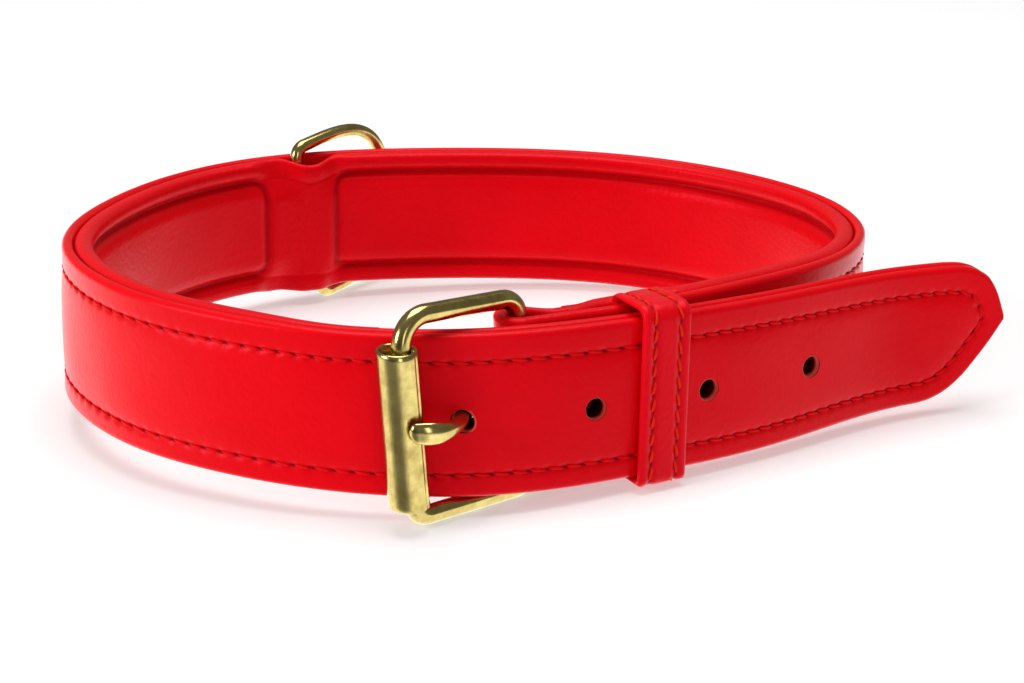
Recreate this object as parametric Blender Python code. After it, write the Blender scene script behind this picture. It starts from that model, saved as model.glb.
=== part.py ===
"""Padded leather dog collar, fastened through its first hole, standing on its edge.

Metres, +Z up. The collar's axis is vertical, the buckle faces -Y and the free end
points to +X. The origin is the centre of the bounding box's bottom face.

The strap is one long band. It starts with the end that is turned under, wraps the
buckle's heel bar, goes once round the loop and ends in the pointed free end. Every
leather piece is a section carried along that band's route.
"""
import math

import bmesh
import bpy
import numpy as np

# Leather, in metres
LOOP_WIDTH = 0.209           # outer face to outer face, left to right
LOOP_DEPTH = 0.1713          # outer face to outer face, front to back
STRAP_WIDTH = 0.038
STRAP_THICKNESS = 0.0032
BACKING_THICKNESS = 0.0029   # second layer of the free end
PAD_THICKNESS = 0.0054       # padded lining, at its fullest
FREE_END_LENGTH = 0.1658     # roller to point, along the strap
TURN_LENGTH = 0.0125         # end folded under behind the heel bar
HOLE_DIAMETER = 0.0056
HOLE_PITCH = 0.0309
HOLE_COUNT = 4
KEEPER_WIDTH = 0.0122
KEEPER_THICKNESS = 0.0022
KEEPER_SKIVED = 0.0012       # its rear, thinned between the strap and the lining
KEEPER_FOOT = 0.0014         # its bottom, drawn tight
KEEPER_BEND = 0.45           # inside bend at its corners, share of its thickness
KEEPER_BEVEL = 0.3           # outside corners' bevel starts here, share of its thickness
LAYER_GAP = 0.0003

# Buckle and D-ring, in metres
BUCKLE_REACH = 0.0339        # heel bar to roller bar, axis to axis
BUCKLE_ROOM = 0.0032         # height between the frame's rails beyond the strap's width
BUCKLE_DROP = 0.0010         # top rail's fall toward the heel bar
BUCKLE_WIRE = 0.0046
BUCKLE_CORNER = 0.0045       # bend radius of the wire's axis
BUCKLE_TOP_CORNER = 0.0072   # the same, above the roller
BUCKLE_FOOT_CORNER = 0.0038  # the same, below the roller
BAR_CLEARANCE = 0.0004
ROLLER_DIAMETER = 0.0096
ROLLER_WALL = 0.0009
ROLLER_SHORT = 0.0018        # roller's length short of the strap's width
ROLLER_SEAT = 0.0008         # roller's lower end above the bottom rail
TONGUE_DIAMETER = 0.0032
TONGUE_TIP_WIDTH = 0.0050
TONGUE_EYE_WALL = 0.0014
TONGUE_EYE_HEIGHT = 0.0052
TONGUE_SLOT = 0.0084         # height of the slot in the fold
TONGUE_RISE = 0.0016         # its tip lies higher than its eye
RING_WIRE = 0.0037
RING_ROOM = 0.0071           # height of the wire's axis along the bar beyond the strap's width
RING_REACH = 0.033           # axis of the bar to axis of the curve
RING_CORNER = 0.0036
RING_SQUARENESS = 3.4        # exponent of the curve, 2 for an ellipse
RING_PITCH = 10.0            # degrees, lean of the bar in the strap's face
RING_SWING = 64.5            # degrees, from straight out to the pose shown

# Stance of the front of the collar
LEAN = 0.117                 # the front's top edge falls back, slope toward +Y
SWAY = -0.095                # the buckle's top shifts to the left, slope along X

STEP = 0.008                 # spacing of the sections along the route
DENSE_STEP = 0.0002

# The strap's outer face in plan, from behind the keeper, round by the right, back and
# left, to the free end. Columns: shares of half the loop's width and of half its depth.
LOOP_ROUTE = (
    (0.658, -0.485),
    (0.790, -0.345),
    (0.918, -0.160),
    (0.992, 0.047),
    (0.998, 0.281),
    (0.940, 0.489),
    (0.830, 0.666),
    (0.686, 0.811),
    (0.505, 0.923),
    (0.294, 0.988),
    (0.075, 1.000),
    (-0.155, 0.974),
    (-0.375, 0.918),
    (-0.576, 0.818),
    (-0.748, 0.654),
    (-0.881, 0.426),
    (-0.958, 0.199),
    (-0.995, -0.058),
    (-0.971, -0.315),
    (-0.881, -0.539),
    (-0.738, -0.729),
    (-0.547, -0.873),
    (-0.327, -0.971),
    (-0.155, -1.000),
    (0.036, -0.985),
    (0.247, -0.905),
    (0.486, -0.757),
    (0.772, -0.549),
    (1.040, -0.333),
    (1.298, -0.214),
)
HEEL_ACROSS = 0.179          # heel bar's place on the front, share of half the width

# The buckle end lies behind the free end. Columns: distance from the roller as a share
# of the free end, and gap behind the free end as a share of the strap's thickness.
TUCKED_ROUTE = (
    (0.290, 0.40),
    (0.390, 0.70),
)

# How the band stands along its route. Columns: place (0 heel bar, 1 roller, 2 point of
# the free end), rise of the bottom edge and height of the band as shares of the strap's
# width, and shares of LEAN and of SWAY.
STANCE = (
    (0.00, 0.025, 1.00, 1.0, 1.0),
    (0.02, 0.025, 1.00, 1.0, 0.8),
    (0.04, 0.025, 1.00, 1.0, 0.0),
    (0.10, 0.025, 1.00, 1.0, 0.0),
    (0.20, 0.006, 1.00, 0.5, 0.0),
    (0.26, 0.000, 1.00, 0.0, 0.0),
    (0.70, 0.000, 1.00, 0.0, 0.0),
    (0.82, 0.016, 1.00, 1.0, 0.0),
    (0.93, 0.019, 1.00, 1.0, 0.0),
    (0.98, 0.012, 1.00, 1.0, 1.0),
    (1.10, 0.012, 1.00, 1.0, 1.0),
    (1.45, 0.008, 1.00, 1.0, 0.0),
    (1.95, 0.092, 0.905, 1.0, 0.0),
    (2.00, 0.092, 0.900, 1.0, 0.0),
)

# Pointed end. Columns: distance back from the point as a share of the strap's width,
# and bottom and top edges as shares of the band's own height.
POINT = (
    (0.63, 0.000, 1.000),
    (0.50, 0.018, 1.000),
    (0.38, 0.075, 0.998),
    (0.27, 0.172, 0.983),
    (0.18, 0.285, 0.946),
    (0.10, 0.395, 0.880),
    (0.04, 0.490, 0.765),
    (0.00, 0.558, 0.640),
)

# Edge of a plain leather band, from its face round to its back. Columns: depth as a
# share of the thickness, and distance in from the edge as a share of the thickness.
BAND_EDGE = (
    (0.00, 0.42),
    (0.13, 0.13),
    (0.35, 0.00),
    (0.65, 0.00),
    (0.87, 0.13),
    (1.00, 0.42),
)

# Half section of the padded lining, from its outer face round its edge to the middle
# of the pad. Columns: height as a share of the strap's width, depth as a share of the
# pad's thickness, and how far the depth follows the padding (0 never, 1 fully).
PAD_SECTION = (
    (0.040, 0.00, 0.0),
    (0.010, 0.12, 0.0),
    (0.000, 0.28, 0.0),
    (0.000, 0.68, 0.0),
    (0.020, 0.84, 0.0),
    (0.070, 0.88, 0.0),
    (0.145, 0.66, 0.0),
    (0.200, 0.86, 1.0),
    (0.300, 0.98, 1.0),
    (0.500, 1.00, 1.0),
)
PAD_FLAT = 0.72              # depth of the unpadded lining, share of the pad's
PAD_START = 0.0131           # lining's first edge, along the route from the heel bar
PAD_STOP = 0.006             # lining's last edge, back from the roller
PAD_RAMP = 0.007             # length over which the padding fills
PAD_TAPER = 0.045            # length over which the lining thins toward the roller
PAD_THINNED = 0.68           # its thickness there, share of the full lining's
RING_PLACE = 0.5785          # D-ring's bar, share of the way from heel bar to roller
RING_SEAT = 0.0118           # half length of the unpadded seat over the bar
SEAT_SHIFT = 0.0035          # middle of the seat past the bar
SEAT_THINNED = 0.55          # the lining's thickness there, share of the full lining's
RING_RAMP_SHARES = (-0.6, -0.1, 0.4, 0.9)   # sections on the seat's ramp, shares of PAD_RAMP
KEEPER_PLACE = 0.378         # keeper's middle, share of the free end from the roller
HOLE_PLACE = 0.432           # first hole, share of BUCKLE_REACH past the roller
HOLE_HEIGHT = 0.48           # share of the band's height
TONGUE_SLANT = 0.42          # tongue's slope through the hole, toward the roller
LEAF_ON_ROLLER = (0.78, 0.20)    # its leaf's start and end past the roller, shares of ROLLER_DIAMETER
LEAF_THINNING = 0.62         # leaf's thickness, share of the shank's

# The tongue along its length. Columns: share of its length, height as a share of
# TONGUE_TIP_WIDTH, and thickness as a share of TONGUE_DIAMETER.
TONGUE_FORM = (
    (0.00, 0.64, 1.00),
    (0.68, 0.64, 1.00),
    (0.83, 1.00, 0.64),
    (0.94, 0.92, 0.52),
    (1.00, 0.55, 0.44),
)

# The slot in the fold. Columns: run toward the roller as a share of the fold's radius,
# and half height as a share of half TONGUE_SLOT.
SLOT_FORM = (
    (-1.15, 1.00),
    (1.20, 1.00),
    (1.55, 0.55),
)

RED = (0.62, 0.010, 0.020, 1.0)
BRASS = (0.52, 0.44, 0.20, 1.0)


def material(name, colour, roughness, metallic):
    made = bpy.data.materials.new(name)
    made.use_nodes = True
    shader = made.node_tree.nodes["Principled BSDF"]
    shader.inputs["Base Color"].default_value = colour
    shader.inputs["Roughness"].default_value = roughness
    shader.inputs["Metallic"].default_value = metallic
    return made


def smoothstep(value):
    share = np.clip(value, 0.0, 1.0)
    return share * share * (3.0 - 2.0 * share)


def blend_rows(table, column, place):
    """Value of a table's column at a place, eased between its rows."""
    rows = np.array(table)
    keys = rows[:, 0]
    index = np.clip(np.searchsorted(keys, place) - 1, 0, len(keys) - 2)
    share = smoothstep((place - keys[index]) / (keys[index + 1] - keys[index]))
    return rows[index, column] * (1.0 - share) + rows[index + 1, column] * share


def natural_spline(points):
    """Dense points of the natural cubic spline through the given points."""
    points = np.array(points)
    knots = np.concatenate([[0.0], np.cumsum(np.linalg.norm(np.diff(points, axis=0), axis=1))])
    gaps = np.diff(knots)
    count = len(points)
    system = np.eye(count)
    right = np.zeros_like(points)
    for row in range(1, count - 1):
        system[row, row - 1:row + 2] = gaps[row - 1], 2.0 * (gaps[row - 1] + gaps[row]), gaps[row]
        rise = (points[row + 1] - points[row]) / gaps[row] - (points[row] - points[row - 1]) / gaps[row - 1]
        right[row] = 6.0 * rise
    bend = np.linalg.solve(system, right)
    at = np.arange(0.0, knots[-1], DENSE_STEP)
    cell = np.clip(np.searchsorted(knots, at, side="right") - 1, 0, count - 2)
    width = gaps[cell][:, None]
    after = (at - knots[cell])[:, None]
    before = width - after
    return (
        (bend[cell] * before ** 3 + bend[cell + 1] * after ** 3) / (6.0 * width)
        + (points[cell] / width - bend[cell] * width / 6.0) * before
        + (points[cell + 1] / width - bend[cell + 1] * width / 6.0) * after
    )


class Route:
    """A plan curve, measured by its length, with its normal to the left of travel."""

    def __init__(self, points):
        curve = natural_spline(points)
        last = curve[-1] - curve[-2]
        last = last / np.linalg.norm(last)
        run_on = np.arange(1, int(LOOP_WIDTH / DENSE_STEP))[:, None] * DENSE_STEP
        self.curve = np.vstack([curve, curve[-1] + last * run_on])
        steps = np.linalg.norm(np.diff(self.curve, axis=0), axis=1)
        self.length = np.concatenate([[0.0], np.cumsum(steps)])
        tangent = np.gradient(self.curve, self.length, axis=0)
        self.tangents = tangent / np.linalg.norm(tangent, axis=1)[:, None]

    def point(self, at):
        columns = [np.interp(at, self.length, self.curve[:, axis]) for axis in (0, 1)]
        return np.stack(columns, axis=-1)

    def tangent(self, at):
        columns = [np.interp(at, self.length, self.tangents[:, axis]) for axis in (0, 1)]
        return np.stack(columns, axis=-1)

    def inward(self, at):
        """Unit normal toward the neck; the band is followed anticlockwise."""
        tangent = self.tangent(at)
        return np.stack([-tangent[..., 1], tangent[..., 0]], axis=-1)

    def offset(self, at, depth):
        return self.point(at) + self.inward(at) * np.asarray(depth)[..., None]


HALF_LOOP = np.array([LOOP_WIDTH, LOOP_DEPTH]) / 2.0
BUCKLE_OPENING = STRAP_WIDTH + BUCKLE_ROOM
ROLLER_LENGTH = STRAP_WIDTH - ROLLER_SHORT
RING_HEIGHT = STRAP_WIDTH + RING_ROOM
FREE_THICKNESS = STRAP_THICKNESS + LAYER_GAP + BACKING_THICKNESS
HEEL_RADIUS = BUCKLE_WIRE / 2.0 + BAR_CLEARANCE      # inside of the fold
FOLD_RADIUS = HEEL_RADIUS + STRAP_THICKNESS
ROLLER_RADIUS = ROLLER_DIAMETER / 2.0
ROLLER_PLAY = ROLLER_RADIUS - ROLLER_WALL - BUCKLE_WIRE / 2.0 - LAYER_GAP


def lay_out_band():
    """Route of the strap's outer face, and the places along it that the rest uses."""
    loop = [tuple(HALF_LOOP * row) for row in LOOP_ROUTE]
    front = Route(loop)
    far_side = front.length > front.length[-1] / 2.0
    across = np.where(far_side, front.curve[:, 0], -np.inf)
    heel = front.length[np.argmax(across > HEEL_ACROSS * LOOP_WIDTH / 2.0)]
    heel_axis = front.offset(heel, FREE_THICKNESS + LAYER_GAP + FOLD_RADIUS)
    outside = front.offset(front.length, np.full(front.length.shape, -ROLLER_RADIUS - LAYER_GAP))
    near = (np.linalg.norm(outside - heel_axis, axis=1) < BUCKLE_REACH + ROLLER_PLAY) & far_side
    roller = front.length[np.argmax(near)]

    tucked = [tuple(front.offset(heel, FREE_THICKNESS + LAYER_GAP))]
    for share, gap in TUCKED_ROUTE:
        at = roller + share * FREE_END_LENGTH
        tucked.append(tuple(front.offset(at, FREE_THICKNESS + gap * STRAP_THICKNESS)))
    route = Route(tucked + loop)
    shift = route.length[-1] - front.length[-1]
    return route, heel_axis, roller + shift, outside[np.argmax(near)]


ROUTE, HEEL_AXIS, ROLLER_PLACE, ROLLER_AXIS = lay_out_band()
TIP_PLACE = ROLLER_PLACE + FREE_END_LENGTH
KEEPER_FRONT = ROLLER_PLACE + KEEPER_PLACE * FREE_END_LENGTH
RING_AT = RING_PLACE * ROLLER_PLACE
SEAT_AT = RING_AT + SEAT_SHIFT
MIDDLE = STRAP_WIDTH / 2.0
FIRST_HOLE = ROLLER_PLACE + HOLE_PLACE * BUCKLE_REACH
BUCKLE_MIDDLE = blend_rows(STANCE, 1, 1.0) * STRAP_WIDTH - LAYER_GAP + BUCKLE_OPENING / 2.0


def behind_keeper(at):
    """Place on the buckle end that lies straight behind a place on the free end."""
    start = ROUTE.point(at)
    along = ROUTE.tangent(at)
    first = ROUTE.length < ROLLER_PLACE / 4.0
    astray = np.abs((ROUTE.curve[first] - start) @ along)
    return ROUTE.length[first][np.argmin(astray)]


KEEPER_REAR = behind_keeper(KEEPER_FRONT)
PAD_END = ROLLER_PLACE - PAD_STOP
BACKING_START = PAD_END + 2.0 * LAYER_GAP


def feature_places():
    """Places where every layer of the band needs a section: ramps, ends and the point."""
    places = [PAD_START, PAD_START + PAD_RAMP * 0.6, PAD_END - PAD_RAMP * 0.6, PAD_END, BACKING_START]
    for share in RING_RAMP_SHARES:
        reach = RING_SEAT + PAD_RAMP * share
        places += [SEAT_AT - reach, SEAT_AT + reach]
    places += [RING_AT, TIP_PLACE]
    places += [TIP_PLACE - back * STRAP_WIDTH for back, _, _ in POINT[:-1]]
    return np.array(sorted(places))


FEATURES = feature_places()


def stance(at):
    """Rise, height, lean and sway of the band at lengths along the route."""
    at = np.asarray(at, dtype=float)
    place = np.where(at < ROLLER_PLACE, at / ROLLER_PLACE, 1.0 + (at - ROLLER_PLACE) / FREE_END_LENGTH)
    low = blend_rows(STANCE, 1, place) * STRAP_WIDTH
    high = low + blend_rows(STANCE, 2, place) * STRAP_WIDTH
    return low, high, blend_rows(STANCE, 3, place) * LEAN, blend_rows(STANCE, 4, place) * SWAY


def stations(start, stop):
    """Lengths along the route for a piece's sections; all the layers share them."""
    grid = np.arange(math.ceil(start / STEP), math.floor(stop / STEP) + 1) * STEP
    inside = FEATURES[(FEATURES > start + LAYER_GAP) & (FEATURES < stop - LAYER_GAP)]
    wanted = np.array([start, *inside, stop])
    clear = np.abs(grid[:, None] - wanted[None, :]).min(axis=1) > STEP / 4.0
    return np.sort(np.concatenate([grid[clear], wanted]))


def band_section(low, high, thickness):
    """Outline of a plain band: (depth, height) from bottom face round to the start."""
    edge = np.array(BAND_EDGE) * thickness
    inset = np.minimum(edge[:, 1], 0.45 * (high - low))
    top = np.column_stack([edge[:, 0], high - inset])
    bottom = np.column_stack([edge[::-1, 0], low + inset[::-1]])
    return np.vstack([top, bottom])


def point_edges(at, low, high):
    """Bottom and top edges of the free end, drawn in to its point."""
    back = np.clip((TIP_PLACE - at) / STRAP_WIDTH, 0.0, POINT[0][0])
    rows = np.array(POINT)[::-1]
    share_low = np.interp(back, rows[:, 0], rows[:, 1])
    share_high = np.interp(back, rows[:, 0], rows[:, 2])
    return low + (high - low) * share_low, low + (high - low) * share_high


def place_section(centre, normal, section, lean, sway):
    """Section (depth, height) set at a plan point along a plan normal, then leaned."""
    plan = centre + normal * section[:, :1]
    up = section[:, 1] - MIDDLE
    return np.column_stack([plan[:, 0] + sway * up, plan[:, 1] + lean * up, section[:, 1]])


def loft(name, rings, finish, closed=False):
    """Object with quads between successive rings; open lofts get a cap at each end."""
    rings = np.array(rings)
    count, sides, _ = rings.shape
    vertices = [tuple(vertex) for vertex in rings.reshape(-1, 3)]
    faces = []
    for ring in range(count if closed else count - 1):
        here = ring * sides
        there = (ring + 1) % count * sides
        for side in range(sides):
            beside = (side + 1) % sides
            faces.append((here + side, here + beside, there + beside, there + side))
    if not closed:
        faces.append(tuple(range(sides)))
        faces.append(tuple((count - 1) * sides + side for side in range(sides)))
    mesh = bpy.data.meshes.new(name)
    mesh.from_pydata(vertices, [], faces)
    return add_object(name, mesh, finish)


def add_object(name, mesh, finish):
    """Object for a mesh, with its faces turned outward and its sharp edges kept."""
    shell = bmesh.new()
    shell.from_mesh(mesh)
    bmesh.ops.recalc_face_normals(shell, faces=shell.faces)
    shell.to_mesh(mesh)
    shell.free()
    mesh.shade_smooth()
    mesh.set_sharp_from_angle(angle=math.radians(50.0))
    made = bpy.data.objects.new(name, mesh)
    bpy.context.collection.objects.link(made)
    if finish is not None:
        made.data.materials.append(finish)
    return made


def cut(target, cutter, operation="DIFFERENCE"):
    """Boolean modifier on the target; the cutter stays in the file, hidden in renders."""
    cutter.hide_render = True
    cutter.display_type = "WIRE"
    change = target.modifiers.new(cutter.name, "BOOLEAN")
    change.operation = operation
    change.object = cutter
    change.solver = "EXACT"


def leaned(points):
    """Points near the buckle, sheared with it."""
    points = np.array(points, dtype=float)
    up = points[..., 2] - MIDDLE
    points[..., 0] += SWAY * up
    points[..., 1] += LEAN * up
    return points


def turned_depth(at):
    """Depth of the turned-under layer's middle behind the outer layer's middle."""
    apart = 2.0 * (HEEL_RADIUS + STRAP_THICKNESS / 2.0)
    together = STRAP_THICKNESS + LAYER_GAP
    return together + (apart - together) * (1.0 - smoothstep(at / (0.8 * TURN_LENGTH)))


def make_outer_strap(finish):
    """The turned-under end, the fold round the heel bar, the loop and the free end."""
    half = STRAP_THICKNESS / 2.0
    rings = []
    for at in np.linspace(TURN_LENGTH, 0.0, 6):
        low, high, lean, sway = stance(at)
        centre = ROUTE.offset(at, half + turned_depth(at) + half)
        section = band_section(low, high, STRAP_THICKNESS)
        rings.append(place_section(centre, -ROUTE.inward(at), section, lean, sway))
    low, high, lean, sway = stance(0.0)
    inward = ROUTE.inward(0.0)
    back = -ROUTE.tangent(0.0)
    section = band_section(low, high, STRAP_THICKNESS)
    for angle in np.radians(np.linspace(20.0, 160.0, 8)):
        ray = inward * math.cos(angle) + back * math.sin(angle)
        rings.append(place_section(HEEL_AXIS + ray * FOLD_RADIUS, -ray, section, lean, sway))
    for at in stations(0.0, TIP_PLACE):
        low, high, lean, sway = stance(at)
        low, high = point_edges(at, low, high)
        section = band_section(low, high, STRAP_THICKNESS)
        rings.append(place_section(ROUTE.point(at), ROUTE.inward(at), section, lean, sway))
    strap = loft("outer_strap", rings, finish)
    cut(strap, make_tongue_slot())
    cut(strap, make_hole_cutter("strap_holes"))
    return strap


def make_backing(finish):
    """Second layer of the free end, from the end of the padding to the point."""
    depth = STRAP_THICKNESS + LAYER_GAP
    rings = []
    for at in stations(BACKING_START, TIP_PLACE):
        low, high, lean, sway = stance(at)
        low, high = point_edges(at, low, high)
        section = band_section(low, high, BACKING_THICKNESS)
        rings.append(place_section(ROUTE.offset(at, depth), ROUTE.inward(at), section, lean, sway))
    backing = loft("strap_end_backing", rings, finish)
    cut(backing, make_hole_cutter("backing_holes"))
    return backing


def bump(at, centre, reach, ramp):
    """1 within reach of the centre, easing to 0 over the ramp."""
    return 1.0 - smoothstep((abs(at - centre) - reach) / ramp)


def padding(at):
    """Fullness of the pad: empty up to the keeper, at the roller and over the D-ring's bar."""
    ends = smoothstep((at - KEEPER_REAR - KEEPER_WIDTH / 2.0) / PAD_RAMP)
    ends *= smoothstep((PAD_END - at) / PAD_RAMP - 0.3)
    return ends * (1.0 - bump(at, SEAT_AT, RING_SEAT, PAD_RAMP))


def lining_depth(at):
    """Depth of the lining's outer face, which steps in over what lies beneath it."""
    keeper = (KEEPER_SKIVED + LAYER_GAP) * bump(at, KEEPER_REAR, KEEPER_WIDTH * 0.6, PAD_RAMP)
    bar = (RING_WIRE + LAYER_GAP) * bump(at, SEAT_AT, RING_SEAT - PAD_RAMP / 3.0, PAD_RAMP)
    return STRAP_THICKNESS + LAYER_GAP + keeper + bar


def make_lining(finish):
    """Padded lining: a rolled edge, a sewn groove and a raised pad on its inner face."""
    rows = np.array(PAD_SECTION)
    height = np.concatenate([rows[:, 0], 1.0 - rows[-2::-1, 0]])
    depth = np.concatenate([rows[:, 1], rows[-2::-1, 1]])
    follows = np.concatenate([rows[:, 2], rows[-2::-1, 2]])
    rings = []
    for at in stations(PAD_START, PAD_END):
        low, high, lean, sway = stance(at)
        full = padding(at)
        layer = np.where(follows > 0.0, PAD_FLAT + (depth - PAD_FLAT) * full, depth) * PAD_THICKNESS
        layer *= 1.0 - (1.0 - PAD_THINNED) * smoothstep((at - PAD_END) / PAD_TAPER + 1.0)
        layer *= 1.0 - (1.0 - SEAT_THINNED) * bump(at, SEAT_AT, RING_SEAT - PAD_RAMP / 3.0, PAD_RAMP)
        section = np.column_stack([layer, low + height * (high - low)])
        rings.append(place_section(ROUTE.offset(at, lining_depth(at)), ROUTE.inward(at), section, lean, sway))
    return loft("padded_lining", rings, finish)


def make_keeper(finish):
    """Leather loop round the free end and the buckle end, under the lining."""
    bottom = min(stance(KEEPER_FRONT)[0], stance(KEEPER_REAR)[0]) - 2.0 * LAYER_GAP
    top = max(stance(KEEPER_FRONT)[1], stance(KEEPER_REAR)[1]) + 2.0 * LAYER_GAP
    wall = KEEPER_THICKNESS
    rear_wall = KEEPER_SKIVED
    bend = KEEPER_BEND * wall
    bevel = KEEPER_BEVEL * wall
    rings = []
    inner_rings = []
    for at in KEEPER_FRONT + KEEPER_WIDTH * np.linspace(-0.5, 0.5, 5):
        front = ROUTE.offset(at, -2.0 * LAYER_GAP)
        rear = ROUTE.offset(behind_keeper(at), STRAP_THICKNESS + LAYER_GAP)
        reach = np.linalg.norm(rear - front)
        across = (rear - front) / reach
        inner = np.array([
            (bend, bottom), (reach - bend, bottom), (reach, bottom + bend), (reach, top - bend),
            (reach - bend, top), (bend, top), (0.0, top - bend), (0.0, bottom + bend),
        ])
        outer = np.array([
            (-bevel, bottom - KEEPER_FOOT), (reach, bottom - rear_wall), (reach + rear_wall, bottom),
            (reach + rear_wall, top), (reach, top + rear_wall), (-bevel, top + wall),
            (-wall, top + bevel), (-wall, bottom - bevel),
        ])
        rings.append(place_section(front, across, outer, LEAN, 0.0))
        inner_rings.append(place_section(front, across, inner, LEAN, 0.0))
    return loft("keeper_loop", tube_rings(rings, inner_rings), finish, closed=True)


def tube_rings(outer, inner):
    """Outer and inner skins of a ring-shaped wall, as closed rings round its section."""
    around = np.concatenate([np.array(outer), np.array(inner)[::-1]])
    return np.transpose(around, (1, 0, 2))


def sweep_wire(name, path, radii, up, finish, sides=10):
    """Closed wire: a circle of the given radius carried along a closed 3-D path."""
    path = np.array(path)
    ahead = np.roll(path, -1, axis=0) - np.roll(path, 1, axis=0)
    ahead /= np.linalg.norm(ahead, axis=1)[:, None]
    up = np.array(up) / np.linalg.norm(up)
    side = np.cross(ahead, up)
    side /= np.linalg.norm(side, axis=1)[:, None]
    angles = np.arange(sides) * math.tau / sides
    rings = (
        path[:, None, :]
        + radii * np.cos(angles)[None, :, None] * side[:, None, :]
        + radii * np.sin(angles)[None, :, None] * up[None, None, :]
    )
    return loft(name, rings, finish, closed=True)


def make_buckle_frame(finish):
    """Bent wire frame: heel bar, two rails and the roller's bar."""
    along = ROLLER_AXIS - HEEL_AXIS
    along = along / np.linalg.norm(along)
    reach = BUCKLE_REACH
    half = (BUCKLE_OPENING + BUCKLE_WIRE) / 2.0
    outline = []
    corners = (
        (reach, half, 0.0, BUCKLE_TOP_CORNER),
        (0.0, half - BUCKLE_DROP, 90.0, BUCKLE_CORNER),
        (0.0, -half, 180.0, BUCKLE_CORNER),
        (reach, -half, 270.0, BUCKLE_FOOT_CORNER),
    )
    for reach_at, height, start, corner in corners:
        centre_along = reach_at - math.copysign(corner, reach_at - reach / 2.0)
        centre_up = height - math.copysign(corner, height)
        for angle in np.radians(start + np.linspace(0.0, 90.0, 6)):
            outline.append((centre_along + corner * math.cos(angle), centre_up + corner * math.sin(angle)))
    path = [(*(HEEL_AXIS + along * reach_at), BUCKLE_MIDDLE + height) for reach_at, height in outline]
    across = (-along[1], along[0], 0.0)
    return sweep_wire("buckle_frame", leaned(path), BUCKLE_WIRE / 2.0, across, finish)


def turned_ring(centre, radius, height, sides=24):
    """Points of a level circle, leaned with the buckle."""
    angles = np.arange(sides) * math.tau / sides
    circle = np.column_stack([
        centre[0] + radius * np.cos(angles),
        centre[1] + radius * np.sin(angles),
        np.full(sides, height),
    ])
    return leaned(circle)


def make_sleeve(name, centre, inner, outer, low, high, finish):
    """Plain round tube standing on end."""
    rings = [turned_ring(centre, radius, height) for radius, height in (
        (outer, low), (outer, high), (inner, high), (inner, low))]
    return loft(name, rings, finish, closed=True)


def make_roller(finish):
    low = BUCKLE_MIDDLE - BUCKLE_OPENING / 2.0 + ROLLER_SEAT
    inner = ROLLER_RADIUS - ROLLER_WALL
    return make_sleeve("buckle_roller", ROLLER_AXIS, inner, ROLLER_RADIUS, low, low + ROLLER_LENGTH, finish)


def unit(vector):
    return vector / np.linalg.norm(vector)


def tongue_route():
    """Plan points of the tongue: its eye, the hole, and the roller that it rests on."""
    outward = -ROUTE.inward(FIRST_HOLE)
    along = ROUTE.tangent(FIRST_HOLE)
    middle = ROUTE.offset(FIRST_HOLE, FREE_THICKNESS / 2.0)
    slant = unit(outward - TONGUE_SLANT * along)
    eye = HEEL_AXIS + unit(middle - HEEL_AXIS) * (HEEL_RADIUS + TONGUE_EYE_WALL / 2.0)
    off_roller = ROLLER_RADIUS + LEAF_THINNING / 2.0 * TONGUE_DIAMETER + 2.0 * LAYER_GAP
    rest = ROLLER_AXIS - ROUTE.inward(ROLLER_PLACE) * off_roller
    points = [eye, middle - slant * FREE_THICKNESS * 0.5, middle + slant * FREE_THICKNESS * 0.7]
    points += [rest + along * ROLLER_DIAMETER * share for share in LEAF_ON_ROLLER]
    return points, middle, slant


def hole_height():
    low, high, _, _ = stance(FIRST_HOLE)
    return low + HOLE_HEIGHT * (high - low)


def make_tongue(finish):
    """Round shank with a flattened leaf at its tip and an eye on the heel bar."""
    points, _, _ = tongue_route()
    curve = natural_spline(points)
    curve = curve[np.linspace(0, len(curve) - 1, 18).astype(int)]
    ahead = np.gradient(curve, axis=0)
    ahead /= np.linalg.norm(ahead, axis=1)[:, None]
    side = np.column_stack([-ahead[:, 1], ahead[:, 0]])
    share = np.linspace(0.0, 1.0, len(curve))
    form = np.array(TONGUE_FORM)
    tall = np.interp(share, form[:, 0], form[:, 1]) * TONGUE_TIP_WIDTH / 2.0
    thick = np.interp(share, form[:, 0], form[:, 2]) * TONGUE_DIAMETER / 2.0
    middles = hole_height() + TONGUE_RISE * share
    angles = np.arange(10) * math.tau / 10
    rings = []
    for centre, across, middle, height, depth in zip(curve, side, middles, tall, thick):
        ring = np.column_stack([
            centre[0] + across[0] * depth * np.cos(angles),
            centre[1] + across[1] * depth * np.cos(angles),
            middle + height * np.sin(angles),
        ])
        rings.append(leaned(ring))
    tongue = loft("buckle_tongue", rings, finish)
    low = hole_height() - TONGUE_EYE_HEIGHT / 2.0
    outer = HEEL_RADIUS + TONGUE_EYE_WALL
    inner = HEEL_RADIUS
    bar_hole = make_sleeve("tongue_eye", HEEL_AXIS, inner, outer, low, low + TONGUE_EYE_HEIGHT, None)
    cut(tongue, bar_hole, "UNION")
    return tongue


def make_tongue_slot():
    """Slot through both layers of the fold, where the tongue's eye turns on the bar."""
    along = ROUTE.tangent(0.0)
    inward = ROUTE.inward(0.0)
    form = np.array(SLOT_FORM) * (FOLD_RADIUS, TONGUE_SLOT / 2.0)
    outline = np.vstack([form * (1.0, -1.0), form[::-1]])
    rings = []
    for depth in (-FOLD_RADIUS - LAYER_GAP, 2.0 * FOLD_RADIUS):
        plan = [HEEL_AXIS + along * run + inward * depth for run, _ in outline]
        rings.append(leaned([(x, y, hole_height() + up) for (x, y), (_, up) in zip(plan, outline)]))
    return loft("fold_slot", rings, None)


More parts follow.
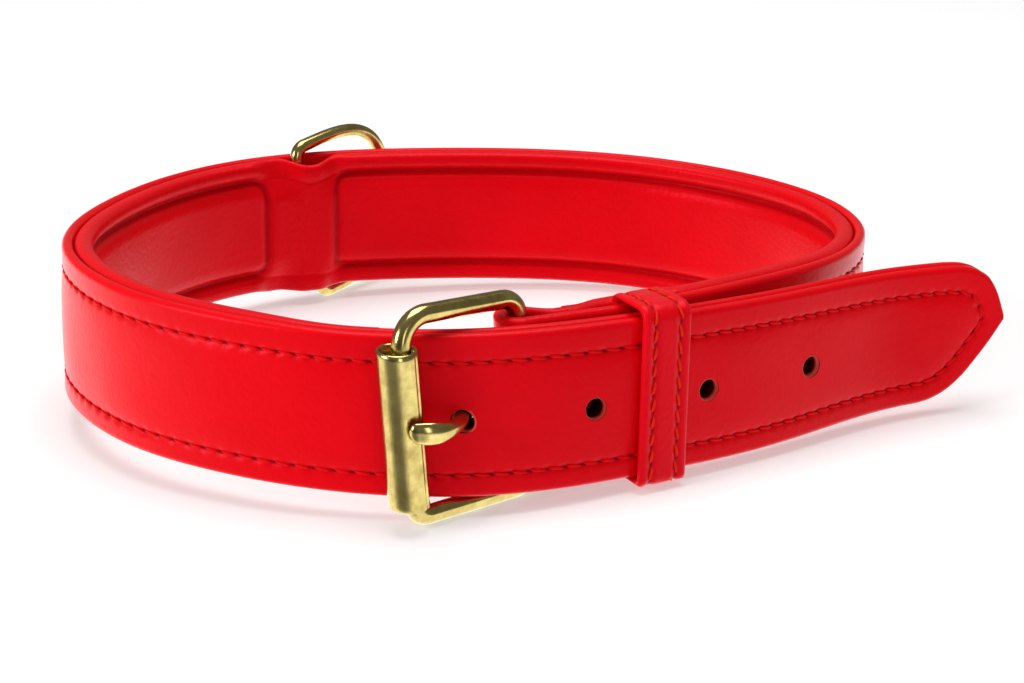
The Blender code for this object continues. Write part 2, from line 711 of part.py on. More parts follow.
def make_hole_cutter(name):
    """Round punches for the holes; the first is slanted by the tongue in it."""
    _, middle, slant = tongue_route()
    shell = bmesh.new()
    for number in range(HOLE_COUNT):
        at = FIRST_HOLE + number * HOLE_PITCH
        low, high, lean, sway = stance(at)
        centre = middle if number == 0 else ROUTE.offset(at, FREE_THICKNESS / 2.0)
        axis = slant if number == 0 else ROUTE.inward(at)
        across = np.array([-axis[1], axis[0]])
        angles = np.arange(16) * math.tau / 16
        ends = []
        for side in (-1.0, 1.0):
            plan = centre + axis * side * FREE_THICKNESS
            height = low + HOLE_HEIGHT * (high - low) + HOLE_DIAMETER / 2.0 * np.sin(angles)
            run = HOLE_DIAMETER / 2.0 * np.cos(angles)
            ring = np.column_stack([plan[0] + across[0] * run, plan[1] + across[1] * run, height])
            up = ring[:, 2] - MIDDLE
            ring[:, 0] += sway * up
            ring[:, 1] += lean * up
            ends.append([shell.verts.new(vertex) for vertex in ring])
        shell.faces.new(ends[0])
        shell.faces.new(ends[1])
        for side in range(len(angles)):
            beside = (side + 1) % len(angles)
            shell.faces.new((ends[0][side], ends[0][beside], ends[1][beside], ends[1][side]))
    mesh = bpy.data.meshes.new(name)
    shell.to_mesh(mesh)
    shell.free()
    return add_object(name, mesh, None)


def ring_frame():
    """Middle of the D-ring's bar, and the directions of its bar and of its reach."""
    depth = STRAP_THICKNESS + LAYER_GAP + RING_WIRE / 2.0
    plan = ROUTE.offset(RING_AT, depth)
    along = np.array([*-ROUTE.tangent(RING_AT), 0.0])
    outward = np.array([*-ROUTE.inward(RING_AT), 0.0])
    up = np.array([0.0, 0.0, 1.0])
    pitch = math.radians(RING_PITCH)
    swing = math.radians(RING_SWING)
    bar = up * math.cos(pitch) - along * math.sin(pitch)
    level = along * math.cos(pitch) + up * math.sin(pitch)
    reach = outward * math.cos(swing) + level * math.sin(swing)
    top = STRAP_WIDTH + LAYER_GAP + RING_WIRE / 2.0
    middle = np.array([*plan, top - RING_HEIGHT / 2.0 * math.cos(pitch)])
    return middle, bar, reach


def make_d_ring(finish):
    """Wire D: a straight bar, tight corners and a full curve."""
    middle, bar, reach = ring_frame()
    half = RING_HEIGHT / 2.0
    corner = RING_CORNER
    quarter = np.radians((22.5, 45.0, 67.5))
    bend = [(corner * (1.0 - math.cos(angle)), half - corner * (1.0 - math.sin(angle))) for angle in quarter]
    fullness = 2.0 / RING_SQUARENESS
    curve = []
    for angle in np.radians(np.linspace(0.0, 180.0, 27)):
        run = abs(math.sin(angle)) ** fullness
        up = math.copysign(abs(math.cos(angle)) ** fullness, math.cos(angle))
        curve.append((corner + (RING_REACH - corner) * run, half * up))
    outline = [(0.0, up) for up in np.linspace(-half + corner, half - corner, 6)]
    outline += bend + curve + [(run, -up) for run, up in bend[::-1]]
    path = np.array([reach * run + bar * up for run, up in outline])
    ring = sweep_wire("d_ring", path, RING_WIRE / 2.0, np.cross(bar, reach), finish)
    ring.location = middle
    return ring


def stand_on_floor(pieces):
    """Hang every piece on one empty, so that the box's bottom centre is the origin."""
    bpy.context.view_layer.update()
    graph = bpy.context.evaluated_depsgraph_get()
    corners = []
    for piece in pieces:
        shown = piece.evaluated_get(graph)
        corners += [shown.matrix_world @ vertex.co for vertex in shown.data.vertices]
    corners = np.array(corners)
    low = corners.min(axis=0)
    high = corners.max(axis=0)
    stand = bpy.data.objects.new("stand", None)
    bpy.context.collection.objects.link(stand)
    for piece in bpy.data.objects:
        if piece.type == "MESH":
            piece.parent = stand
    stand.location = (-(low[0] + high[0]) / 2.0, -(low[1] + high[1]) / 2.0, -low[2])


for leftover in list(bpy.data.objects):
    bpy.data.objects.remove(leftover)

leather = material("red_leather", RED, 0.38, 0.0)
brass = material("brass", BRASS, 0.32, 1.0)
stand_on_floor([
    make_outer_strap(leather),
    make_lining(leather),
    make_backing(leather),
    make_keeper(leather),
    make_buckle_frame(brass),
    make_roller(brass),
    make_tongue(brass),
    make_d_ring(brass),
])
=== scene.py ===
"""Red padded leather pet collar, fastened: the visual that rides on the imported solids.

Every leather piece is a section carried along the same route as the solid model's, and
every wire is a circle carried along a path. Metres, +Z up.
"""
import math

import bpy
import numpy as np
from mathutils import Matrix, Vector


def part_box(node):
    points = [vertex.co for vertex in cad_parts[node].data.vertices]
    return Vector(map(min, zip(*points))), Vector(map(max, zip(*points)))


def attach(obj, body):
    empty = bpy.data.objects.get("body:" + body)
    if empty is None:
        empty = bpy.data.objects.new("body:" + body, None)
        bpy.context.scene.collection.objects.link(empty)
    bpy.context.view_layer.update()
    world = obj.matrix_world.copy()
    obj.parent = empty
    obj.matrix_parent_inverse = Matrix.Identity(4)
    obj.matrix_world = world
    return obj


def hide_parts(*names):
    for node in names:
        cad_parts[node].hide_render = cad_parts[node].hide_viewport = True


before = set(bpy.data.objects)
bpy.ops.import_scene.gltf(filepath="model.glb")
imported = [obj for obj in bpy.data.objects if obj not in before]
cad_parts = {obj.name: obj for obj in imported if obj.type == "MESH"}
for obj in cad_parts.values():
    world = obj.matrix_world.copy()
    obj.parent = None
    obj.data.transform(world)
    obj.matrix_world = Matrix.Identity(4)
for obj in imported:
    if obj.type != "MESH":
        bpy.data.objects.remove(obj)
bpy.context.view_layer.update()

# Leather, in metres, as in the solid model
LOOP_WIDTH = 0.209
LOOP_DEPTH = 0.1713
STRAP_WIDTH = 0.038
STRAP_THICKNESS = 0.0032
BACKING_THICKNESS = 0.0029
PAD_THICKNESS = 0.0054
FREE_END_LENGTH = 0.1658
TURN_LENGTH = 0.0125
HOLE_DIAMETER = 0.0056
HOLE_PITCH = 0.0309
HOLE_COUNT = 4
KEEPER_WIDTH = 0.0132         # with its rolled edges, half a millimetre more a side
KEEPER_THICKNESS = 0.0022
KEEPER_SKIVED = 0.0012
KEEPER_FOOT = 0.0014
LAYER_GAP = 0.0003

# Buckle and D-ring, in metres, as in the solid model
BUCKLE_REACH = 0.0339
BUCKLE_OPENING = 0.0412
BUCKLE_DROP = 0.0010
BUCKLE_WIRE = 0.0046
BUCKLE_CORNER = 0.0045
BUCKLE_TOP_CORNER = 0.0072
BUCKLE_FOOT_CORNER = 0.0038
BAR_CLEARANCE = 0.0004
ROLLER_DIAMETER = 0.0096
ROLLER_WALL = 0.0009
ROLLER_LENGTH = 0.0362
ROLLER_SEAT = 0.0008
TONGUE_DIAMETER = 0.0032
TONGUE_TIP_WIDTH = 0.0050
TONGUE_EYE_WALL = 0.0014
TONGUE_EYE_HEIGHT = 0.0052
TONGUE_SLOT = 0.0084
TONGUE_RISE = 0.0016
RING_WIRE = 0.0037
RING_HEIGHT = 0.0451
RING_REACH = 0.033
RING_CORNER = 0.0036
RING_SQUARENESS = 3.4
RING_PITCH = 10.0
RING_SWING = 64.5
LEAN = 0.117
SWAY = -0.095

# Sewing, in metres
STITCH_INSET = 0.0057        # stitch line to the band's edge
STITCH_DROP_TOP = 0.0008     # the upper seam is that much lower than the inset
STITCH_DROP_FOOT = 0.0004    # and the lower seam
STITCH_PITCH = 0.0046
END_PITCH = 0.0037           # closer stitches past the keeper
STITCH_WIDTH = 0.00072
PAD_INSET = 0.0055           # the lining's sewn groove to its edge
PAD_DROP = 0.0009            # the lining's lower edge below the strap's
SEAT_DROP = 0.0010           # the same, further at the D-ring's seat
BAR_DIP = 0.0019             # sink of the lining's top edge where the D-ring comes out
LINING_REACH = 0.0009        # lining's start over the turned-under end
LINING_LAP = 0.0006          # lining's end tucked under the backing's
STITCH_LENGTH = 0.0038
STITCH_RISE = 0.00016        # arch of a thread over the face
BACK_RISE = 0.00035          # and over the backing
STITCH_SLANT = 0.14          # turn of a thread from the seam, in radians
BACK_SLANT = -0.10
KEEPER_SLANT = 0.22
KEEPER_STITCH = (0.0036, 0.0007, 0.00028)   # length, width and rise
KEEPER_SEAMS = (-0.0034, 0.0034)    # the keeper's stitch lines, from its middle
KEEPER_PITCH = 0.0041

# Rounding and small relief, in metres
BAND_EDGE = 0.0014           # roll of a strap's edge
LINING_EDGE = 0.0018
PAD_CORNER = 0.0045
KEEPER_BEND = 0.0024         # the keeper's bend over the strap's front edge
KEEPER_FOLD = 0.0011         # and at its other three corners
BRASS_BEVEL = 0.0003         # at the rims of the roller and of the tongue's eye
ROLLER_JOINT = math.radians(-62.0)
JOINT_DEPTH = 0.00035
SLEEVE_LIP = ((0.0, 0.02), (0.20, 0.10), (0.42, 0.32), (0.30, 0.52), (0.0, 0.55))   # mm

# Visual steps, in metres
ALONG = 0.0009               # spacing of the fine sections along the route
POINT_SECTIONS = 56          # closer sections in the pointed end
DENSE_STEP = 0.0002
KEEPER_STEPS = 160           # points round the keeper

# Room light's strength, as (dark side, elsewhere), and the way that the dark side faces
ROOM_ABOVE = (0.06, 0.20)
ROOM_BELOW = (0.28, 1.75)
DARK_SIDE = (-0.42, -0.86, -0.29)
DARK_EDGE = (0.60, 0.98)     # cosines between which the dark side fades in
HORIZON = (0.02, -0.06)      # heights between which the two change over

# Soft lamps: name, place, the point that it faces, size in metres and power in watts
LAMPS = (
    ("top", (0.0, 0.15, 1.25), (0.0, 0.0, 0.0), (0.9, 0.9), 12.5),
    ("key", (-1.16, -0.60, 0.55), (0.0, 0.0, 0.02), (0.5, 0.5), 10.4),
    ("front", (0.42, -1.15, 0.42), (0.0, 0.0, 0.02), (0.22, 0.5), 1.2),
)

# The photograph's camera: a long lens, in millimetres on a 36 mm film
CAMERA_DROP = math.asin(0.3396)
CAMERA_ROLL = 0.026
CAMERA_PLACE = (0.0116, -0.55995, 0.2099)
CAMERA_LENS = 36.0 * 2251.0 / 1024.0
WHITE = (1.0, 1.0, 1.0, 1.0)
FLOOR_REACH = 6.0

# The strap's outer face in plan. Columns: shares of half the loop's width and depth.
LOOP_ROUTE = (
    (0.658, -0.485),
    (0.790, -0.345),
    (0.918, -0.160),
    (0.992, 0.047),
    (0.998, 0.281),
    (0.940, 0.489),
    (0.830, 0.666),
    (0.686, 0.811),
    (0.505, 0.923),
    (0.294, 0.988),
    (0.075, 1.000),
    (-0.155, 0.974),
    (-0.375, 0.918),
    (-0.576, 0.818),
    (-0.748, 0.654),
    (-0.881, 0.426),
    (-0.958, 0.199),
    (-0.995, -0.058),
    (-0.971, -0.315),
    (-0.881, -0.539),
    (-0.738, -0.729),
    (-0.547, -0.873),
    (-0.327, -0.971),
    (-0.155, -1.000),
    (0.036, -0.985),
    (0.247, -0.905),
    (0.486, -0.757),
    (0.772, -0.549),
    (1.040, -0.333),
    (1.298, -0.214),
)
HEEL_ACROSS = 0.179
TUCKED_ROUTE = (
    (0.290, 0.40),
    (0.390, 0.70),
)

# Columns: place (0 heel bar, 1 roller, 2 point), rise and height as shares of the
# strap's width, and shares of LEAN and of SWAY.
STANCE = (
    (0.00, 0.025, 1.00, 1.0, 1.0),
    (0.02, 0.025, 1.00, 1.0, 0.8),
    (0.04, 0.025, 1.00, 1.0, 0.0),
    (0.10, 0.025, 1.00, 1.0, 0.0),
    (0.20, 0.006, 1.00, 0.5, 0.0),
    (0.26, 0.000, 1.00, 0.0, 0.0),
    (0.70, 0.000, 1.00, 0.0, 0.0),
    (0.82, 0.016, 1.00, 1.0, 0.0),
    (0.93, 0.019, 1.00, 1.0, 0.0),
    (0.98, 0.012, 1.00, 1.0, 1.0),
    (1.10, 0.012, 1.00, 1.0, 1.0),
    (1.45, 0.008, 1.00, 1.0, 0.0),
    (1.95, 0.092, 0.905, 1.0, 0.0),
    (2.00, 0.092, 0.900, 1.0, 0.0),
)

# Columns: distance back from the point as a share of the strap's width, and bottom and
# top edges as shares of the band's own height.
POINT = (
    (0.63, 0.000, 1.000),
    (0.50, 0.018, 1.000),
    (0.38, 0.075, 0.998),
    (0.27, 0.172, 0.983),
    (0.18, 0.285, 0.946),
    (0.10, 0.395, 0.880),
    (0.04, 0.490, 0.765),
    (0.00, 0.558, 0.640),
)

# Half section of the padded lining's inner face. Columns: height as a share of the
# strap's width, and depth as a share of the pad's thickness.
PAD_FACE = (
    (0.020, 0.800),
    (0.045, 0.870),
    (0.075, 0.875),
    (0.110, 0.780),
    (0.145, 0.640),
    (0.180, 0.800),
    (0.230, 0.920),
    (0.320, 0.985),
    (0.500, 1.000),
)
PAD_FLAT = 0.72
PAD_START = 0.0131
PAD_STOP = 0.006
PAD_RAMP = 0.007
PAD_TAPER = 0.045
PAD_THINNED = 0.68
RING_PLACE = 0.5785
RING_SEAT = 0.0118
SEAT_SHIFT = 0.0035
SEAT_THINNED = 0.55
KEEPER_PLACE = 0.378
HOLE_PLACE = 0.432
HOLE_HEIGHT = 0.48
TONGUE_SLANT = 0.42
LEAF_ON_ROLLER = (0.78, 0.20)
LEAF_THINNING = 0.62

# Columns: share of the tongue's length, height as a share of its tip width, and
# thickness as a share of its diameter.
TONGUE_FORM = (
    (0.00, 0.64, 1.00),
    (0.62, 0.66, 1.00),
    (0.74, 0.80, 0.90),
    (0.85, 1.00, 0.70),
    (0.94, 0.96, 0.60),
    (0.985, 0.74, 0.50),
    (1.00, 0.30, 0.24),
)
SLOT_FORM = (
    (-1.15, 1.00),
    (1.20, 1.00),
    (1.55, 0.55),
)

HALF_LOOP = np.array([LOOP_WIDTH, LOOP_DEPTH]) / 2.0
FREE_THICKNESS = STRAP_THICKNESS + LAYER_GAP + BACKING_THICKNESS
HEEL_RADIUS = BUCKLE_WIRE / 2.0 + BAR_CLEARANCE
FOLD_RADIUS = HEEL_RADIUS + STRAP_THICKNESS
ROLLER_RADIUS = ROLLER_DIAMETER / 2.0
ROLLER_PLAY = ROLLER_RADIUS - ROLLER_WALL - BUCKLE_WIRE / 2.0 - LAYER_GAP
MIDDLE = STRAP_WIDTH / 2.0


def smoothstep(value):
    share = np.clip(value, 0.0, 1.0)
    return share * share * (3.0 - 2.0 * share)


def blend_rows(table, column, place):
    """Value of a table's column at a place, eased between its rows."""
    rows = np.array(table)
    keys = rows[:, 0]
    index = np.clip(np.searchsorted(keys, place) - 1, 0, len(keys) - 2)
    share = smoothstep((place - keys[index]) / (keys[index + 1] - keys[index]))
    return rows[index, column] * (1.0 - share) + rows[index + 1, column] * share


def interp_rows(wanted, known, rows):
    """Rows between the known ones, each column on its own."""
    return np.stack([np.interp(wanted, known, column) for column in np.transpose(rows)], axis=-1)


def length_along(points):
    """Distance from the first point to each, along the line through them."""
    return np.concatenate([[0.0], np.cumsum(np.linalg.norm(np.diff(points, axis=0), axis=1))])


def unit(vectors):
    """Each vector over its length; the last axis holds the components."""
    vectors = np.asarray(vectors, dtype=float)
    return vectors / np.linalg.norm(vectors, axis=-1, keepdims=True)


def turns(sides):
    """Evenly spaced angles round a circle."""
    return np.arange(sides) * math.tau / sides


def natural_spline(points, step=DENSE_STEP):
    """Dense points of the natural cubic spline through the given points."""
    points = np.array(points)
    knots = length_along(points)
    gaps = np.diff(knots)
    count = len(points)
    system = np.eye(count)
    right = np.zeros_like(points)
    for row in range(1, count - 1):
        system[row, row - 1:row + 2] = gaps[row - 1], 2.0 * (gaps[row - 1] + gaps[row]), gaps[row]
        ahead = (points[row + 1] - points[row]) / gaps[row]
        behind = (points[row] - points[row - 1]) / gaps[row - 1]
        right[row] = 6.0 * (ahead - behind)
    bend = np.linalg.solve(system, right)
    at = np.arange(0.0, knots[-1], step)
    cell = np.clip(np.searchsorted(knots, at, side="right") - 1, 0, count - 2)
    width = gaps[cell][:, None]
    after = (at - knots[cell])[:, None]
    before = width - after
    return (
        (bend[cell] * before ** 3 + bend[cell + 1] * after ** 3) / (6.0 * width)
        + (points[cell] / width - bend[cell] * width / 6.0) * before
        + (points[cell + 1] / width - bend[cell + 1] * width / 6.0) * after
    )


class Route:
    """A plan curve, measured by its length, with its normal to the left of travel."""

    def __init__(self, points):
        curve = natural_spline(points)
        last = unit(curve[-1] - curve[-2])
        run_on = np.arange(1, int(LOOP_WIDTH / DENSE_STEP))[:, None] * DENSE_STEP
        self.curve = np.vstack([curve, curve[-1] + last * run_on])
        self.length = length_along(self.curve)
        self.tangents = unit(np.gradient(self.curve, self.length, axis=0))

    def point(self, at):
        return interp_rows(at, self.length, self.curve)

    def tangent(self, at):
        return interp_rows(at, self.length, self.tangents)

    def inward(self, at):
        tangent = self.tangent(at)
        return np.stack([-tangent[..., 1], tangent[..., 0]], axis=-1)

    def offset(self, at, depth):
        return self.point(at) + self.inward(at) * np.asarray(depth)[..., None]


def lay_out_band():
    """Route of the strap's outer face, and the places along it that the rest uses."""
    loop = [tuple(HALF_LOOP * row) for row in LOOP_ROUTE]
    front = Route(loop)
    far_side = front.length > front.length[-1] / 2.0
    across = np.where(far_side, front.curve[:, 0], -np.inf)
    heel = front.length[np.argmax(across > HEEL_ACROSS * LOOP_WIDTH / 2.0)]
    heel_axis = front.offset(heel, FREE_THICKNESS + LAYER_GAP + FOLD_RADIUS)
    outside = front.offset(front.length, np.full(front.length.shape, -ROLLER_RADIUS - LAYER_GAP))
    near = (np.linalg.norm(outside - heel_axis, axis=1) < BUCKLE_REACH + ROLLER_PLAY) & far_side
    roller = front.length[np.argmax(near)]

    tucked = [tuple(front.offset(heel, FREE_THICKNESS + LAYER_GAP))]
    for share, gap in TUCKED_ROUTE:
        at = roller + share * FREE_END_LENGTH
        tucked.append(tuple(front.offset(at, FREE_THICKNESS + gap * STRAP_THICKNESS)))
    route = Route(tucked + loop)
    shift = route.length[-1] - front.length[-1]
    return route, heel_axis, roller + shift, outside[np.argmax(near)]


ROUTE, HEEL_AXIS, ROLLER_PLACE, ROLLER_AXIS = lay_out_band()
TIP_PLACE = ROLLER_PLACE + FREE_END_LENGTH
KEEPER_FRONT = ROLLER_PLACE + KEEPER_PLACE * FREE_END_LENGTH
RING_AT = RING_PLACE * ROLLER_PLACE
SEAT_AT = RING_AT + SEAT_SHIFT
FIRST_HOLE = ROLLER_PLACE + HOLE_PLACE * BUCKLE_REACH
BUCKLE_MIDDLE = blend_rows(STANCE, 1, 1.0) * STRAP_WIDTH - LAYER_GAP + BUCKLE_OPENING / 2.0
PAD_END = ROLLER_PLACE - PAD_STOP
BACKING_START = PAD_END + 2.0 * LAYER_GAP


def stand():
    """Shift from the route's own frame to the row's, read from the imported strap's box."""
    low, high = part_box("outer_strap")
    loop = ROUTE.curve[ROUTE.length < ROLLER_PLACE]
    return np.array([low[0] - loop[:, 0].min(), high[1] - loop[:, 1].max(), low[2]])


STAND = stand()


def behind_keeper(at):
    """Place on the buckle end that lies straight behind a place on the free end."""
    start = ROUTE.point(at)
    along = ROUTE.tangent(at)
    first = ROUTE.length < ROLLER_PLACE / 4.0
    astray = np.abs((ROUTE.curve[first] - start) @ along)
    return ROUTE.length[first][np.argmin(astray)]


KEEPER_REAR = behind_keeper(KEEPER_FRONT)


def stance(at):
    """Rise, top, lean and sway of the band at lengths along the route."""
    at = np.asarray(at, dtype=float)
    place = np.where(at < ROLLER_PLACE, at / ROLLER_PLACE, 1.0 + (at - ROLLER_PLACE) / FREE_END_LENGTH)
    low = blend_rows(STANCE, 1, place) * STRAP_WIDTH
    high = low + blend_rows(STANCE, 2, place) * STRAP_WIDTH
    return low, high, blend_rows(STANCE, 3, place) * LEAN, blend_rows(STANCE, 4, place) * SWAY


def smooth_rows(table, column, place, level_start=True):
    """Value of a table's column, through its rows by a cubic with averaged slopes."""
    rows = np.array(table)
    keys = rows[:, 0]
    values = rows[:, column]
    slope = np.gradient(values, keys)
    slope[-1] = 0.0
    if level_start:
        slope[0] = 0.0
    index = np.clip(np.searchsorted(keys, place) - 1, 0, len(keys) - 2)
    width = keys[index + 1] - keys[index]
    t = np.clip((place - keys[index]) / width, 0.0, 1.0)
    return (
        (2 * t ** 3 - 3 * t ** 2 + 1) * values[index]
        + (t ** 3 - 2 * t ** 2 + t) * width * slope[index]
        + (3 * t ** 2 - 2 * t ** 3) * values[index + 1]
        + (t ** 3 - t ** 2) * width * slope[index + 1]
    )


def point_edges(at, low, high):
    """Bottom and top edges of the free end, drawn in smoothly to its point."""
    back = np.clip((TIP_PLACE - at) / STRAP_WIDTH, 0.0, POINT[0][0])
    share_low = smooth_rows(POINT[::-1], 1, back, level_start=False)
    share_high = smooth_rows(POINT[::-1], 2, back, level_start=False)
    return low + (high - low) * share_low, low + (high - low) * share_high


def waves(x, y, seed, size, count=14):
    """Smooth uneven field: a seeded sum of plane waves, about -1 to 1."""
    rng = np.random.default_rng(seed)
    field = np.zeros(np.broadcast(x, y).shape)
    for _ in range(count):
        angle = rng.uniform(0.0, math.tau)
        rate = math.tau / (size * rng.uniform(0.6, 1.8))
        along = x * math.cos(angle) + y * math.sin(angle)
        field += np.sin(rate * along + rng.uniform(0.0, math.tau))
    return field / math.sqrt(count) * 0.9


def place_rings(centre, normal, depth, height, lean, sway):
    """Sections (n, m) of depth and height set at plan points (n, 2), leaned and swayed."""
    up = height - MIDDLE
    x = centre[:, :1] + normal[:, :1] * depth + sway[:, None] * up
    y = centre[:, 1:] + normal[:, 1:] * depth + lean[:, None] * up
    return np.stack([x, y, height], axis=-1) + STAND


def grid_faces(count, sides, closed_along):
    """Quads between successive closed rings of points."""
    rows = np.arange(count if closed_along else count - 1)[:, None]
    columns = np.arange(sides)[None, :]
    ahead = (rows + 1) % count
    beside = (columns + 1) % sides
    corners = (rows * sides + columns, rows * sides + beside,
               ahead * sides + beside, ahead * sides + columns)
    shape = (len(rows), columns.shape[1])
    return np.stack([np.broadcast_to(corner, shape) for corner in corners], axis=-1).reshape(-1, 4)


def outward(vertices, faces):
    """The faces, turned round if the closed shell that they make is inside out."""
    corner = vertices[faces[:, 0]]
    volume = 0.0
    for second in range(1, faces.shape[1] - 1):
        spread = np.cross(vertices[faces[:, second]], vertices[faces[:, second + 1]])
        volume += np.einsum("ij,ij->", corner, spread)
    return faces[:, ::-1] if volume < 0.0 else faces


def shell(name, vertices, quads, triangles, finish, uv=None):
    """Object for a mesh given as arrays; uv holds one pair per vertex."""
    faces = [tuple(face) for face in quads.tolist()] + [tuple(face) for face in triangles]
    mesh = bpy.data.meshes.new(name)
    mesh.from_pydata(vertices.tolist(), [], faces)
    mesh.shade_smooth()
    if uv is not None:
        corners = np.empty(len(mesh.loops), dtype=np.int32)
        mesh.loops.foreach_get("vertex_index", corners)
        layer = mesh.uv_layers.new(name="sewing")
        layer.data.foreach_set("uv", uv.astype(np.float32)[corners].ravel())
    made = bpy.data.objects.new(name, mesh)
    bpy.context.collection.objects.link(made)
    mesh.materials.append(finish)
    return made


def joined(name, groups, finish, uvs=None):
    """One object from lofts over rings of points (n, m, 3), given as (rings, closed).

    An open loft gets a fan of triangles at each end. uvs holds a (n, m, 2) per loft.
    """
    vertices = []
    quads = []
    triangles = []
    uv = []
    first = 0
    for index, (rings, closed) in enumerate(groups):
        rings = np.asarray(rings, dtype=float)
        count, sides, _ = rings.shape
        faces = grid_faces(count, sides, closed)
        points = rings.reshape(-1, 3)
        fans = []
        if not closed:
            points = np.vstack([points, rings[0].mean(axis=0), rings[-1].mean(axis=0)])
            centre = count * sides
            last = (count - 1) * sides
            fans = [(centre, (side + 1) % sides, side) for side in range(sides)]
            fans += [(centre + 1, last + side, last + (side + 1) % sides) for side in range(sides)]
        turned = outward(points - points.mean(axis=0), faces)
        if turned is not faces:
            fans = [face[::-1] for face in fans]
        quads.append(turned + first)
        triangles += [tuple(corner + first for corner in face) for face in fans]
        vertices.append(points)
        if uvs is not None:
            flat = uvs[index]
            uv.append(flat.reshape(-1, 2))
            if not closed:
                uv.append(np.array([flat[0].mean(axis=0), flat[-1].mean(axis=0)]))
        first += len(points)
    uv = np.vstack(uv) if uv else None
    return shell(name, np.vstack(vertices), np.vstack(quads), triangles, finish, uv)


def loft(name, rings, finish, closed=False, uv=None):
    """One object from one loft."""
    return joined(name, [(rings, closed)], finish, None if uv is None else [uv])


def carve(target, cutter):
    """Cut a closed shell out of the target's mesh, then drop the cutter."""
    change = target.modifiers.new("cut", "BOOLEAN")
    change.operation = "DIFFERENCE"
    change.object = cutter
    change.solver = "EXACT"
    graph = bpy.context.evaluated_depsgraph_get()
    carved = bpy.data.meshes.new_from_object(target.evaluated_get(graph))
    plain = target.data
    target.modifiers.clear()
    target.data = carved
    carved.name = plain.name
    bpy.data.meshes.remove(plain)
    bpy.data.objects.remove(cutter)
    target.data.set_sharp_from_angle(angle=math.radians(40.0))


# Materials

def node_group(name, inputs, outputs):
    """Empty shader group with named sockets; inputs hold (name, default) pairs."""
    group = bpy.data.node_groups.new(name, "ShaderNodeTree")
    for title, default in inputs:
        socket = group.interface.new_socket(name=title, in_out="INPUT", socket_type="NodeSocketFloat")
        socket.default_value = default
    for title in outputs:
        group.interface.new_socket(name=title, in_out="OUTPUT", socket_type="NodeSocketFloat")
    return group, group.nodes.new("NodeGroupInput"), group.nodes.new("NodeGroupOutput")


def feed(tree, node, inputs):
    """Set or link a node's sockets; inputs hold (socket, value or source) pairs."""
    for title, value in inputs:
        if isinstance(value, (int, float, tuple)):
            node.inputs[title].default_value = value
        else:
            tree.links.new(value, node.inputs[title])


def add_node(tree, kind, inputs=(), **settings):
    """Shader node of a kind, with its settings and then its sockets."""
    node = tree.nodes.new("ShaderNode" + kind)
    for title, value in settings.items():
        setattr(node, title, value)
    feed(tree, node, inputs)
    return node


def link_maths(tree, operation, *values, clamp=False):
    """Output of a Math node fed by numbers or sockets."""
    node = add_node(tree, "Math", enumerate(values), operation=operation, use_clamp=clamp)
    return node.outputs[0]


def mix_colour(tree, factor, first, second):
    """Colour between two colours or sockets by a factor or socket."""
    return add_node(tree, "Mix", ((0, factor), (6, first), (7, second)), data_type="RGBA").outputs[2]


def new_material(name):
    """Material with its node tree and Principled shader."""
    made = bpy.data.materials.new(name)
    made.use_nodes = True
    return made, made.node_tree, made.node_tree.nodes["Principled BSDF"]


def add_relief(tree, shader, height, strength, distance):
    """Bump from a height on the shader's normal."""
    relief = add_node(tree, "Bump", (("Strength", strength), ("Distance", distance), ("Height", height)))
    feed(tree, shader, (("Normal", relief.outputs["Normal"]),))


def make_grain_group():
    """Leather grain: fine pebbles and pores on Object coordinates."""
    group, given, out = node_group("leather grain", [("Pebble scale", 900.0), ("Pore scale", 260.0)],
                                   ["Height", "Cloud"])
    place = add_node(group, "TexCoord").outputs["Object"]
    pebble = add_node(group, "TexVoronoi", (("Smoothness", 0.6), ("Randomness", 1.0), ("Vector", place),
                                            ("Scale", given.outputs["Pebble scale"])), feature="SMOOTH_F1")
    pore = add_node(group, "TexNoise", (("Detail", 6.0), ("Roughness", 0.65), ("Vector", place),
                                        ("Scale", given.outputs["Pore scale"])))
    cloud = add_node(group, "TexNoise", (("Scale", 34.0), ("Detail", 3.0), ("Vector", place)))
    mixed = link_maths(group, "MULTIPLY_ADD", pebble.outputs["Distance"], 0.8, pore.outputs["Fac"])
    group.links.new(mixed, out.inputs["Height"])
    group.links.new(cloud.outputs["Fac"], out.inputs["Cloud"])
    return group


def make_sewing_group():
    """Painted shade of the needle holes and of the sewn groove, on the sewing UV: U counts stitches, V is
    millimetres from the line.

    A dip is 1 less the distance from the needle's hole, over its radius, and marks the painted shade of the
    hole. The distance is taken across the line more than along it, and the dip slants with the thread. The
    groove shade output is 1 on the line, falling to 0 at 1.3 mm from it, and marks the painted shade of the
    sewn groove.
    """
    group, given, out = node_group(
        "painted needle and groove shade", [("Dip radius", 0.85), ("Pitch", 4.6), ("Slant", 0.22)], ["Dip", "Line"])
    layer = add_node(group, "UVMap", uv_map="sewing")
    parts = add_node(group, "SeparateXYZ", (("Vector", layer.outputs["UV"]),))
    turn = link_maths(group, "FRACT", link_maths(group, "ADD", parts.outputs["X"], 0.5))
    along = link_maths(group, "MULTIPLY", link_maths(group, "SUBTRACT", turn, 0.5), given.outputs["Pitch"])
    across = link_maths(group, "MULTIPLY_ADD", along, given.outputs["Slant"], parts.outputs["Y"])
    along = link_maths(group, "MULTIPLY", along, 0.70)
    across = link_maths(group, "MULTIPLY", across, 1.5)
    square = link_maths(group, "MULTIPLY", along, along)
    across = link_maths(group, "MULTIPLY", across, across)
    reach = link_maths(group, "SQRT", link_maths(group, "ADD", square, across))
    near = link_maths(group, "DIVIDE", reach, given.outputs["Dip radius"])
    fade = link_maths(group, "SUBTRACT", 1.0, near, clamp=True)
    group.links.new(link_maths(group, "SMOOTH_MIN", fade, 1.0, 0.1), out.inputs["Dip"])
    away = link_maths(group, "DIVIDE", link_maths(group, "ABSOLUTE", parts.outputs["Y"]), 1.3)
    group.links.new(link_maths(group, "SUBTRACT", 1.0, away, clamp=True), out.inputs["Line"])
    return group


